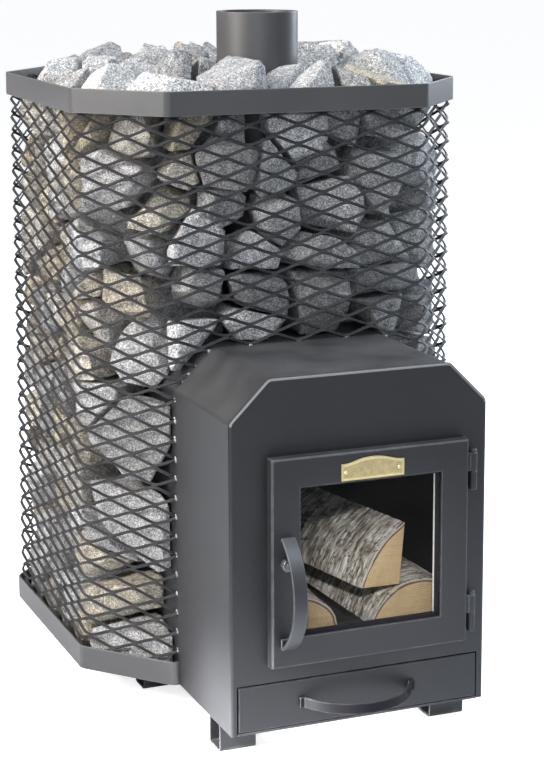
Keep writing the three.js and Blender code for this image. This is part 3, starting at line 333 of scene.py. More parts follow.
def copy_of(node):
    """A merged copy of a CAD node's mesh, in large flat faces."""
    take(frame["nodes"][node])
    bpy.ops.object.duplicate(linked=False)
    obj = bpy.context.object
    obj.name = f"eased_{node}"
    obj.parent = None
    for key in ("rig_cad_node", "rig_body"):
        del obj[key]
    obj.data.materials.clear()
    edit(obj)
    bpy.ops.mesh.remove_doubles(threshold=MERGE)
    bpy.ops.mesh.dissolve_limited(angle_limit=math.radians(0.8))
    leave_edit()
    return obj


def join(objects, name):
    take(*objects)
    if len(objects) > 1:
        bpy.ops.object.join()
    obj = bpy.context.object
    obj.name = name
    return obj


def settle(obj):
    """Puts the object's place, turn and size into its mesh."""
    take(obj)
    bpy.ops.object.transform_apply(location=True, rotation=True, scale=True)


def place(obj, finish, body, slot, *nodes):
    """Gives a finished piece its finish and its body, and hides the CAD nodes that it stands for."""
    if finish is not None:
        obj.data.materials.clear()
        obj.data.materials.append(FINISHES[finish])
    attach(obj, body)
    if nodes:
        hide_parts(*nodes)


def ease_copy(node, ease, finish, body, slot, segments=2):
    """A copy of a CAD node with its edges eased, in its finish and on its body."""
    obj = copy_of(node)
    ease_edges(obj, ease, segments)
    place(obj, finish, body, slot, node)


def second_finish(obj, finish, test):
    """Gives the faces that pass the test another finish."""
    obj.data.materials.append(FINISHES[finish])
    for face in obj.data.polygons:
        if test(face):
            face.material_index = 1


# Node trees


class NodeDesk:
    """Short calls for laying out the nodes of one tree."""

    def __init__(self, tree):
        self.tree = tree

    def put(self, kind, inputs=None, **settings):
        made = self.tree.nodes.new("ShaderNode" + kind)
        for key, value in settings.items():
            setattr(made, key, value)
        for key, value in (inputs or {}).items():
            self.feed(made.inputs[key], value)
        return made

    def feed(self, socket, value):
        if isinstance(value, bpy.types.NodeSocket):
            self.tree.links.new(value, socket)
        else:
            socket.default_value = value

    def dress(self, values):
        """Feeds the named inputs of the material's Principled shader."""
        shader = self.tree.nodes["Principled BSDF"]
        for key, value in values.items():
            self.feed(shader.inputs[key], value)

    def where(self):
        return self.put("TexCoord").outputs["Object"]

    def attribute(self, name, output="Fac"):
        return self.put("Attribute", attribute_name=name).outputs[output]

    def maths(self, operation, a, b):
        return self.put("Math", {0: a, 1: b}, operation=operation).outputs[0]

    def total(self, *parts):
        """The sum of values, each taken at its share."""
        scaled = [self.maths("MULTIPLY", value, share) for value, share in parts]
        result = scaled[0]
        for part in scaled[1:]:
            result = self.maths("ADD", result, part)
        return result

    def blend(self, factor, a, b, mode="MIX"):
        return self.put("Mix", {0: factor, 6: a, 7: b}, data_type="RGBA", blend_type=mode).outputs[2]

    def span(self, value, low, high, to_low=0.0, to_high=1.0):
        return self.put("MapRange", {0: value, 1: low, 2: high, 3: to_low, 4: to_high}).outputs[0]

    def noise(self, spot, scale, detail=3.0, rough=0.55):
        values = {"Vector": spot, "Scale": scale, "Detail": detail, "Roughness": rough}
        return self.put("TexNoise", values).outputs[0]

    def stretched(self, spot, scale):
        return self.put("Mapping", {"Vector": spot, "Scale": scale}).outputs[0]

    def stretched_noise(self, spot, scale, detail, rough=0.55):
        return self.noise(self.stretched(spot, scale), 1.0, detail, rough)

    def ramp(self, factor, *stops):
        made = self.put("ValToRGB", {0: factor})
        line = made.color_ramp.elements
        while len(line) < len(stops):
            line.new(0.5)
        for element, (position, value) in zip(line, stops):
            element.position = position
            element.color = value
        return made.outputs[0]

    def bump(self, height, strength, distance):
        return self.put("Bump", {"Height": height, "Strength": strength, "Distance": distance}).outputs[0]


def shader_group(name, inputs, outputs):
    """A node group with float sockets, its desk, and its inner ends."""
    tree = bpy.data.node_groups.new(name, "ShaderNodeTree")
    for key, value in inputs.items():
        made = tree.interface.new_socket(name=key, in_out="INPUT", socket_type="NodeSocketFloat")
        made.default_value = value
    for key in outputs:
        tree.interface.new_socket(name=key, in_out="OUTPUT", socket_type="NodeSocketFloat")
    given = tree.nodes.new("NodeGroupInput").outputs
    result = tree.nodes.new("NodeGroupOutput").inputs
    return tree, NodeDesk(tree), given, result


def edge_wear_group():
    """Mask of the rubbed edges, broken up by noise."""
    tree, desk, given, result = shader_group("edge wear", {"Radius": 0.002, "Breakup": 90.0}, ["Mask"])
    rounded = desk.put("Bevel", {"Radius": given["Radius"]}, samples=4).outputs[0]
    flat = desk.put("NewGeometry").outputs["True Normal"]
    agree = desk.put("VectorMath", {0: rounded, 1: flat}, operation="DOT_PRODUCT").outputs["Value"]
    broken = desk.span(desk.noise(desk.where(), given["Breakup"]), 0.32, 0.62, 0.25)
    desk.feed(result["Mask"], desk.maths("MULTIPLY", desk.span(agree, 0.998, 0.93), broken))
    return tree


def dust_group():
    """Mask of the dust that settles on faces that look up."""
    tree, desk, given, result = shader_group("settled dust", {"Scale": 14.0}, ["Mask"])
    normal = desk.put("NewGeometry").outputs["Normal"]
    up = desk.put("SeparateXYZ", {0: normal}).outputs["Z"]
    patches = desk.span(desk.noise(desk.where(), given["Scale"], 5.0), 0.35, 0.75, 0.2)
    desk.feed(result["Mask"], desk.maths("MULTIPLY", desk.span(up, 0.25, 1.0), patches))
    return tree


def grain_group():
    """Fine tooth of sprayed or cast metal, and its slow change of tone."""
    sockets = {"Scale": 900.0, "Clouds": 5.0}
    tree, desk, given, result = shader_group("fine grain", sockets, ["Tone", "Height"])
    spot = desk.where()
    fine = desk.noise(spot, given["Scale"], 2.0)
    clouds = desk.noise(spot, given["Clouds"], 4.0)
    desk.feed(result["Tone"], desk.span(desk.total((fine, 0.4), (clouds, 0.6)), 0.3, 0.7))
    desk.feed(result["Height"], fine)
    return tree


def use_group(desk, tree, **values):
    made = desk.put("Group", node_tree=tree)
    for key, value in values.items():
        made.inputs[key].default_value = value
    return made.outputs


# Finishes


def tint(colour, factor=1.0):
    return (*[min(1.0, part * factor) for part in colour], 1.0)


def new_finish(name):
    """The desk of a new material, which is kept under its name."""
    material = bpy.data.materials.new(name)
    material.use_nodes = True
    FINISHES[name] = material
    return NodeDesk(material.node_tree)


def metal_paint(name, groups, colour, worn, rough, specular, wear):
    """Satin stove paint: fine tooth, cloudy tone, rubbed edges and a little dust."""
    desk = new_finish(name)
    grain = use_group(desk, groups["grain"], Scale=900.0, Clouds=6.0)
    edges = use_group(desk, groups["wear"], Radius=0.0022, Breakup=70.0)
    dust = use_group(desk, groups["dust"], Scale=12.0)
    base = desk.blend(grain["Tone"], tint(colour, 0.86), tint(colour, 1.16))
    base = desk.blend(desk.maths("MULTIPLY", dust["Mask"], 0.22), base, tint(worn, 0.9))
    desk.dress({
        "Base Color": desk.blend(desk.maths("MULTIPLY", edges["Mask"], wear), base, tint(worn)),
        "Roughness": desk.span(grain["Tone"], 0.0, 1.0, rough - 0.05, rough + 0.06),
        "Normal": desk.bump(grain["Height"], 0.18, 0.0004),
        "Specular IOR Level": specular,
    })


def bare_metal(name, groups, colour, rough, metallic=1.0):
    """Unpainted metal with mill grain and dull patches."""
    desk = new_finish(name)
    grain = use_group(desk, groups["grain"], Scale=600.0, Clouds=18.0)
    edges = use_group(desk, groups["wear"], Radius=0.001, Breakup=200.0)
    base = desk.blend(grain["Tone"], tint(colour, 0.7), tint(colour, 1.15))
    desk.dress({
        "Base Color": desk.blend(edges["Mask"], base, tint(colour, 1.6)),
        "Roughness": desk.span(grain["Tone"], 0.0, 1.0, rough + 0.12, rough - 0.06),
        "Normal": desk.bump(grain["Height"], 0.15, 0.0004),
        "Metallic": metallic,
    })


def brass_finish(name, groups, colour, aged):
    """Cast brass: polished, or brown with age."""
    desk = new_finish(name)
    grain = use_group(desk, groups["grain"], Scale=700.0, Clouds=120.0)
    edges = use_group(desk, groups["wear"], Radius=0.0012, Breakup=300.0)
    base = desk.blend(grain["Tone"], tint(colour, 0.9 - 0.32 * aged), tint(colour, 1.05 - 0.1 * aged))
    desk.dress({
        "Base Color": desk.blend(edges["Mask"], base, tint(colour, 1.2)),
        "Roughness": desk.span(grain["Tone"], 0.0, 1.0, 0.36 + 0.12 * aged, 0.26 + 0.1 * aged),
        "Normal": desk.bump(grain["Height"], 0.3, 0.0004),
        "Metallic": 1.0,
    })


def granite_finish(colours):
    """Salt-and-pepper granite; each stone carries its own tone, with its heap's painted light or shade, and
    its warmth.
    """
    desk = new_finish("granite")
    spot = desk.where()
    cells = desk.put("TexVoronoi", {"Vector": spot, "Scale": 620.0, "Randomness": 1.0})
    grains = desk.put("SeparateColor", {0: cells.outputs["Color"]}).outputs[0]
    patches = desk.noise(spot, 95.0, 6.0, 0.7)
    base = desk.ramp(
        desk.total((grains, 0.5), (patches, 0.55)),
        (0.18, tint(colours.granite_dark)), (0.36, tint(colours.granite_mid, 0.8)),
        (0.56, tint(colours.granite_mid, 1.2)), (0.78, tint(colours.granite_light)),
    )
    warm = desk.blend(1.0, base, tint(colours.granite_warm), "MULTIPLY")
    base = desk.blend(desk.attribute("stone_warm"), base, warm)
    # stone_shade holds the stone's chance tone and its heap's painted light or shade
    shade = desk.span(desk.attribute("stone_shade"), 0.0, 1.0, 0.58, 1.42)
    tone_and_painted_light = desk.put("CombineColor", {0: shade, 1: shade, 2: shade}).outputs[0]
    relief = desk.total((desk.noise(spot, 170.0, 6.0, 0.7), 1.0), (grains, 0.25))
    desk.dress({
        "Base Color": desk.blend(1.0, base, tone_and_painted_light, "MULTIPLY"),
        "Roughness": desk.span(patches, 0.3, 0.7, 0.82, 0.96),
        "Normal": desk.bump(relief, 0.9, 0.0022),
        "Specular IOR Level": 0.3,
    })


def rope_finish(name, colour):
    """Woven sealing rope."""
    desk = new_finish(name)
    spot = desk.where()
    pattern = {"Vector": spot, "Scale": 420.0, "Distortion": 2.0, "Detail": 2.0}
    weave = desk.put("TexWave", pattern, wave_type="BANDS", bands_direction="DIAGONAL").outputs["Fac"]
    tone = desk.total((weave, 0.5), (desk.noise(spot, 240.0), 1.0))
    desk.dress({
        "Base Color": desk.blend(desk.span(tone, 0.3, 1.1), tint(colour, 0.7), tint(colour)),
        "Roughness": desk.span(weave, 0.0, 1.0, 0.98, 0.88),
        "Normal": desk.bump(weave, 0.5, 0.0006),
    })


def glass_finish():
    """Clear ceramic glass, faintly smoked; most light goes straight through."""
    desk = new_finish("clear_glass")
    smoke = desk.noise(desk.where(), 9.0, 5.0)
    desk.dress({
        "Base Color": desk.blend(smoke, tint((0.012, 0.012, 0.014)), tint((0.03, 0.028, 0.025))),
        "Roughness": desk.span(smoke, 0.3, 0.7, 0.03, 0.09),
        "Alpha": desk.span(smoke, 0.3, 0.75, 0.03, 0.07),
        "IOR": 1.5,
    })


def bark_finish(colours):
    """Flaky pale bark with dark cracks between its plates."""
    desk = new_finish("bark")
    spot = desk.attribute("log_place", "Vector")
    flakes = desk.stretched_noise(spot, (36.0, 105.0, 36.0), 8.0, 0.68)
    lines = desk.stretched_noise(spot, (22.0, 300.0, 22.0), 5.0, 0.65)
    brown = desk.stretched_noise(spot, (34.0, 26.0, 34.0), 4.0)
    fine = desk.total((flakes, 0.7), (lines, 0.8))
    pale = colours.bark_pale
    base = desk.ramp(fine, (0.60, tint(pale, 0.15)), (0.74, tint(pale, 0.8)), (0.88, tint(pale, 1.9)))
    crack = desk.span(desk.attribute("bark_height"), 0.08, 0.40, 0.85, 0.0)
    base = desk.blend(crack, base, tint(colours.bark_dark))
    desk.dress({
        "Base Color": desk.blend(desk.span(brown, 0.48, 0.70, 0.0, 0.7), base, tint((0.15, 0.11, 0.075))),
        "Roughness": desk.span(flakes, 0.3, 0.7, 0.95, 0.8),
        "Normal": desk.bump(fine, 1.0, 0.0024),
    })


def end_grain_finish(colours):
    """Sawn end: growth rings round the pith, a brown bast line and the pale edge of the bark."""
    desk = new_finish("end_grain")
    spot = desk.attribute("log_place", "Vector")
    flat = desk.stretched(spot, (1.0, 0.0, 1.0))
    pattern = {"Vector": flat, "Scale": 95.0, "Distortion": 3.2, "Detail": 3.0, "Detail Scale": 1.2}
    rings = desk.put("TexWave", pattern, wave_type="RINGS", rings_direction="Y").outputs["Fac"]
    fibres = desk.stretched_noise(spot, (210.0, 60.0, 210.0), 5.0, 0.75)
    saw = desk.stretched_noise(spot, (16.0, 1.0, 330.0), 3.0, 0.6)
    stain = desk.stretched_noise(spot, (28.0, 28.0, 28.0), 4.0)
    tone = desk.total((rings, 0.2), (fibres, 0.45), (saw, 0.4))
    base = desk.blend(desk.span(tone, 0.3, 0.72), tint(colours.wood, 0.66), tint(colours.wood, 1.25))
    base = desk.blend(desk.span(stain, 0.5, 0.8, 0.0, 0.4), base, tint((0.36, 0.2, 0.08)))
    reach = desk.put("VectorMath", {0: flat}, operation="LENGTH").outputs["Value"]
    depth = desk.maths("SUBTRACT", desk.attribute("log_radius"), reach)
    uneven = desk.total((depth, 1.0), (fibres, 0.0012))
    base = desk.blend(desk.span(uneven, 0.0058, 0.0046), base, tint(colours.bark_dark, 2.6))
    desk.dress({
        "Base Color": desk.blend(desk.span(uneven, 0.0032, 0.0024), base, tint(colours.bark_pale, 0.8)),
        "Roughness": desk.span(fibres, 0.0, 1.0, 0.92, 0.7),
        "Normal": desk.bump(tone, 0.5, 0.001),
    })


def split_face_finish(colours):
    """Split wood: long fibres along the log."""
    desk = new_finish("split_face")
    fibres = desk.stretched_noise(desk.attribute("log_place", "Vector"), (260.0, 9.0, 260.0), 6.0, 0.7)
    shades = ((0.3, 0.5), (0.55, 1.0), (0.75, 1.25))
    stops = [(position, tint(colours.wood, shade)) for position, shade in shades]
    desk.dress({
        "Base Color": desk.ramp(fibres, *stops),
        "Roughness": desk.span(fibres, 0.0, 1.0, 0.92, 0.75),
        "Normal": desk.bump(fibres, 0.8, 0.002),
    })


def floor_finish(glow):
    """Matt white floor with a trace of unevenness, lifted where the camera sees it."""
    desk = new_finish("studio_floor")
    tone = desk.noise(desk.where(), 1.5)
    desk.dress({
        "Base Color": desk.blend(tone, tint((0.84, 0.87, 0.93)), tint((0.87, 0.90, 0.95))),
        "Roughness": desk.span(tone, 0.0, 1.0, 0.9),
        "Specular IOR Level": 0.1,
        "Emission Color": desk.put("LightPath").outputs["Is Camera Ray"],
        "Emission Strength": glow,
    })


def card_finish():
    """White card that the brass plate mirrors."""
    desk = new_finish("white_card")
    tone = desk.noise(desk.where(), 30.0)
    desk.dress({
        "Base Color": desk.blend(tone, tint((0.90, 0.90, 0.90)), tint((0.95, 0.95, 0.95))),
        "Roughness": desk.span(tone, 0.0, 1.0, 0.9),
    })


def flag_finish():
    """Grey felt of the flag that holds back the floor's light from the front, paler far out."""
    desk = new_finish("grey_felt")
    spot = desk.where()
    out = desk.span(desk.put("SeparateXYZ", {0: spot}).outputs["Y"], -1.3, -2.1)
    desk.dress({
        "Base Color": desk.blend(out, tint((0.15, 0.153, 0.165)), tint((0.34, 0.345, 0.36))),
        "Roughness": desk.span(desk.noise(spot, 40.0, 4.0), 0.0, 1.0, 0.95),
        "Specular IOR Level": 0.0,
    })


# The finish of a slot, where it has another name than the slot
SLOT_FINISHES = {
    "black_paint": "satin_paint", "bare_plate": "sooty_plate", "brass": "cast_brass",
    "ceramic_glass": "clear_glass", "firewood": "split_face",
}


class STOVE_OT_finishes(Operator):
    """Mix every finish and give each CAD node the one of its slot"""

    bl_idname = "stove.finishes"
    bl_label = "Mix the finishes"

    def execute(self, context):
        colours = context.scene.stove_colours
        groups = {"wear": edge_wear_group(), "dust": dust_group(), "grain": grain_group()}
        worn = colours.worn_edge
        for name, colour, rough, specular, wear in (
            ("satin_paint", colours.heat_paint, 0.49, 0.65, 0.45),
            ("strap_paint", colours.strap_paint, 0.45, 0.7, 0.45),
            # painted highlight: paler paint for the front plate's rounded top and shoulder edges
            ("ground_edge", colours.ground_edge, 0.45, 0.65, 0.3),
            ("plate_paint", colours.heat_paint, 0.49, 0.65, 0.08),
            ("cage_paint", colours.cage_paint, 0.40, 0.8, 0.4),
            ("mesh_paint", colours.mesh_paint, 0.5, 0.16, 0.25),
        ):
            metal_paint(name, groups, colour, worn, rough, specular, wear)
        metal_paint("cast_iron", groups, (0.03, 0.028, 0.027), (0.09, 0.085, 0.08), 0.62, 0.3, 0.75)
        bare_metal("sooty_plate", groups, (0.012, 0.012, 0.017), 0.7, 0.0)
        bare_metal("turned_steel", groups, (0.36, 0.36, 0.37), 0.36)
        bare_metal("weld_metal", groups, (0.26, 0.26, 0.27), 0.42)
        brass_finish("cast_brass", groups, colours.brass, 0.0)
        brass_finish("aged_brass", groups, colours.brass, 1.0)
        rope_finish("white_rope", (0.80, 0.77, 0.70))
        rope_finish("grey_rope", (0.17, 0.17, 0.17))
        for finish in (granite_finish, bark_finish, end_grain_finish, split_face_finish):
            finish(colours)
        glass_finish()
        floor_finish(context.scene.stove_stage.floor_glow)
        flag_finish()
        card_finish()
        for obj in frame["nodes"].values():
            slot = obj.data.materials[0].name.split(".")[0]
            obj.data.materials[0] = FINISHES[SLOT_FINISHES.get(slot, slot)]
        return {"FINISHED"}


# Stage


MIDDLE = (0.0, -0.05, 0.45)
WARM, COOL = (1.0, 0.96, 0.91), (0.80, 0.90, 1.0)
# Soft lights: place, target, size, colour. Beams: place, target, degrees, soft share.
SOFT_LIGHTS = {
    "key": ((-2.75, -0.3, 2.05), MIDDLE, 2.0, WARM),
    "front": ((-1.0, -3.4, 1.3), (0.0, -0.3, 0.3), 1.6, COOL),
    "top": ((0.2, 0.5, 3.2), MIDDLE, 2.0, COOL),
    "rim": ((2.7, 1.0, 1.6), MIDDLE, 1.8, COOL),
    "fill": ((0.9, -1.9, 3.3), MIDDLE, 1.8, COOL),
}
BEAMS = {
    "window": ((-0.87, -2.29, 1.33), (0.06, -0.29, 0.215), 5.8, 0.7),
    "floor": ((-1.7, -2.0, 1.7), (-0.36, -0.60, 0.0), 17.0, 0.9),
    "far": ((-2.2, 5.5, 3.0), (-2.2, 4.6, 0.0), 70.0, 0.6),
    "low": ((-1.2, -0.36, 0.12), (-0.18, -0.333, 0.025), 16.5, 1.0),
}
BEAM_LAMP = 0.06
FLOOR_RADIUS, FLOOR_MIDDLE = 120.0, 4.0
FLAG_SIZE, CARD_SIZE = 4.0, 0.9
CAMERA_SPOT = (-1.03564, -2.63861, 1.05718)
CAMERA_TARGET = (-0.07096, -0.351, 0.62462)
PICTURE_HEIGHT, SHIFT_RIGHT, SHIFT_UP = 784.0, -38.0, -110.0


def aim(obj, target):
    obj.rotation_euler = (Vector(target) - obj.location).to_track_quat("-Z", "Y").to_euler()


def hang(key, kind, spot, target, **settings):
    """Hangs a lamp that lights the object and isn't seen itself."""
    scene = bpy.context.scene
    lamp = bpy.data.lights.new(f"{key}_light", kind)
    lamp.energy = getattr(scene.stove_stage, f"{key}_power")
    for name, value in settings.items():
        setattr(lamp, name, value)
    obj = bpy.data.objects.new(lamp.name, lamp)
    obj.visible_camera = False
    scene.collection.objects.link(obj)
    obj.location = spot
    aim(obj, target)


class STOVE_OT_stage(Operator):
    """Lay the pale floor, hang the lights and stand the camera where the photograph was taken"""

    bl_idname = "stove.stage"
    bl_label = "Set the stage"

    def execute(self, context):
        settings = context.scene.stove_stage
        self.lay_floor()
        middle = -settings.flag_start - FLAG_SIZE / 2
        self.lay_sheet("studio_flag", FLAG_SIZE, (0.4, middle, 0.004), "grey_felt")
        self.lay_sheet("studio_card", CARD_SIZE, (0.60, -1.78, 0.008), "white_card")
        for key, (spot, target, size, colour) in SOFT_LIGHTS.items():
            hang(key, "AREA", spot, target, shape="DISK", size=size, color=colour)
        for key, (spot, target, degrees, soft) in BEAMS.items():
            hang(key, "SPOT", spot, target, spot_size=math.radians(degrees), spot_blend=soft,
                 shadow_soft_size=BEAM_LAMP)
        self.surround(context.scene, settings.sky)
        self.stand_camera(context.scene, settings.lens)
        return {"FINISHED"}

    def lay_floor(self):
        floor = add("circle", "studio_floor", vertices=96, radius=FLOOR_RADIUS, fill_type="NGON")
        edit(floor)
        bpy.ops.mesh.inset(thickness=FLOOR_RADIUS - FLOOR_MIDDLE)
        leave_edit()
        floor.data.materials.append(FINISHES["studio_floor"])

    def lay_sheet(self, name, size, spot, finish):
        """A sheet on the floor, out of the picture, that sets what the front mirrors there."""
        sheet = add("plane", name, size=size, location=spot)
        settle(sheet)
        edit(sheet)
        bpy.ops.mesh.inset(thickness=0.02)
        leave_edit()
        sheet.visible_camera = False
        sheet.visible_shadow = False
        sheet.data.materials.append(FINISHES[finish])

    def surround(self, scene, strength):
        world = bpy.data.worlds.new("white_surroundings")
        world.use_nodes = True
        back = world.node_tree.nodes["Background"]
        back.inputs["Color"].default_value = (0.94, 0.97, 1.0, 1.0)
        back.inputs["Strength"].default_value = strength
        scene.world = world
        scene.view_settings.view_transform = "Standard"

    def stand_camera(self, scene, lens):
        camera = bpy.data.cameras.new("photograph_view")
        camera.lens = lens
        camera.sensor_width = 36.0
        camera.shift_x = SHIFT_RIGHT / PICTURE_HEIGHT
        camera.shift_y = SHIFT_UP / PICTURE_HEIGHT
        camera.clip_end = 500.0
        obj = bpy.data.objects.new("photograph_view", camera)
        scene.collection.objects.link(obj)
        obj.location = CAMERA_SPOT
        aim(obj, CAMERA_TARGET)
        scene.camera = obj


# Cage


SHOULDER = 0.053
# Offset of a bevelled corner for each unit of its bend
BEND_OFFSET = 0.41
BAND_EASE = 0.0007
# How the rise of a strand is shared out between two bonds
STRAND_BEND = (0.226, 0.274, 0.274, 0.226)
STRAND_SHY = 0.00002
LOWEST_KNOT = 0.046
TRIM, TRIM_BELOW = -0.001, 0.02
WELD_SEED = 5
WELD_SIZE = (0.0024, 0.0036)
WELD_STRETCH = ((0.8, 1.4), (0.8, 1.2), (0.7, 1.1))
LEAST_END, ON_WALL = 2e-6, 2e-5


def cage_outline():
    """The cage's outer corners, from the back's left end, counter-clockwise seen from above."""
    sizes = bpy.context.scene.stove_cage
    low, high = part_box("top_band")
    flat = sizes.front_flat / 2
    middle = (low.y + high.y) / 2
    near, far = middle - sizes.side_flat / 2, middle + sizes.side_flat / 2
    left = [(-flat, high.y), (low.x, far), (low.x, near), (-flat, low.y)]
    right = [(-x, y) for x, y in reversed(left)]
    return [Vector(spot) for spot in left + right]


def inward(before, after):
    """The unit normal to the left of a side."""
    along = (after - before).normalized()
    return Vector((-along.y, along.x))


def corner_normals(corners, i):
    corner = corners[i]
    return inward(corners[i - 1], corner), inward(corner, corners[(i + 1) % len(corners)])


def inset_outline(corners, distance):
    moved = []
    for i, corner in enumerate(corners):
        a, b = corner_normals(corners, i)
        moved.append(corner + (a + b) * distance / (1.0 + a.dot(b)))
    return moved


def lap_table(inset, bend, steps=10):
    """Distance, place and inward normal along the way round the cage, from the middle of the back."""
    corners = inset_outline(cage_outline(), inset)
    back = inward(corners[-1], corners[0])
    start = (corners[-1] + corners[0]) / 2
    marks = [(*start, *back)]
    for i, corner in enumerate(corners):
        a, b = corner_normals(corners, i)
        centre = corner + (a + b) * bend / (1.0 + a.dot(b))
        turn = math.atan2(a.x * b.y - a.y * b.x, a.dot(b))
        for step in range(steps + 1):
            angle = math.atan2(a.y, a.x) + turn * step / steps
            normal = Vector((math.cos(angle), math.sin(angle)))
            marks.append((*(centre - normal * bend), *normal))
    marks.append((*start, *back))
    table = np.array(marks)
    run = np.concatenate([[0.0], np.cumsum(np.hypot(*np.diff(table[:, :2], axis=0).T))])
    return run, table


def on_lap(lap, along, depth):
    """Places on the lap at these distances along it and depths inside it."""
    run, table = lap
    along = np.mod(along, run[-1])
    x, y, nx, ny = (np.interp(along, run, table[:, i]) for i in range(4))
    return x + nx * depth, y + ny * depth


def flue_circle():
    """The y of the flue's axis, which stands on x = 0, and its outer radius."""
    low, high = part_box("flue_stub")
    return (low.y + high.y) / 2, (high.x - low.x) / 2


def tunnel_outline(grow):
    """The firebox's outline seen from the front, as (x, z) corners from the left foot to the right."""
    low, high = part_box("firebox_shell")
    side = high.x + grow
    top = high.z + grow
    slope = grow * (math.sqrt(2.0) - 1.0)
    left = [(-side, low.z), (-side, high.z - SHOULDER + slope), (-high.x + SHOULDER - slope, top)]
    return left + [(-x, z) for x, z in reversed(left)]


class STOVE_OT_bands(Operator):
    """Fold the two bands that hold the mesh at its top and bottom"""

    bl_idname = "stove.bands"
    bl_label = "Cage bands"

    def execute(self, context):
        sizes = context.scene.stove_cage
        corners = cage_outline()
        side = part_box("firebox_shell")[1].x
        front = corners[4].y
        open_line = [Vector((side, front)), *corners[4:], *corners[:4], Vector((-side, front))]
        for node, line, closed in (("top_band", corners, True), ("bottom_band", open_line, False)):
            self.fold(node, line, closed, sizes)
        return {"FINISHED"}

    def fold(self, node, line, closed, sizes):
        low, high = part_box(node)
        obj = outline(f"folded_{node}", [(*spot, low.z) for spot in line], closed)
        inner = {i for i in range(len(line)) if closed or 0 < i < len(line) - 1}
        edit(obj)
        pick(obj, "verts", lambda vertex: vertex.index in inner)
        bpy.ops.mesh.bevel(offset=sizes.bend * BEND_OFFSET, segments=8, affect="VERTICES")
        bpy.ops.mesh.select_all(action="SELECT")
        extrude((0.0, 0.0, high.z - low.z))
        leave_edit()
        face_away(obj, (0.0, (low.y + high.y) / 2))
        modify(obj, "SOLIDIFY", thickness=sizes.band_thickness, offset=-1.0, use_even_offset=True)
        ease_edges(obj, BAND_EASE, 2, 40.0)
        place(obj, "cage_paint", "stove", "cage_paint", node)


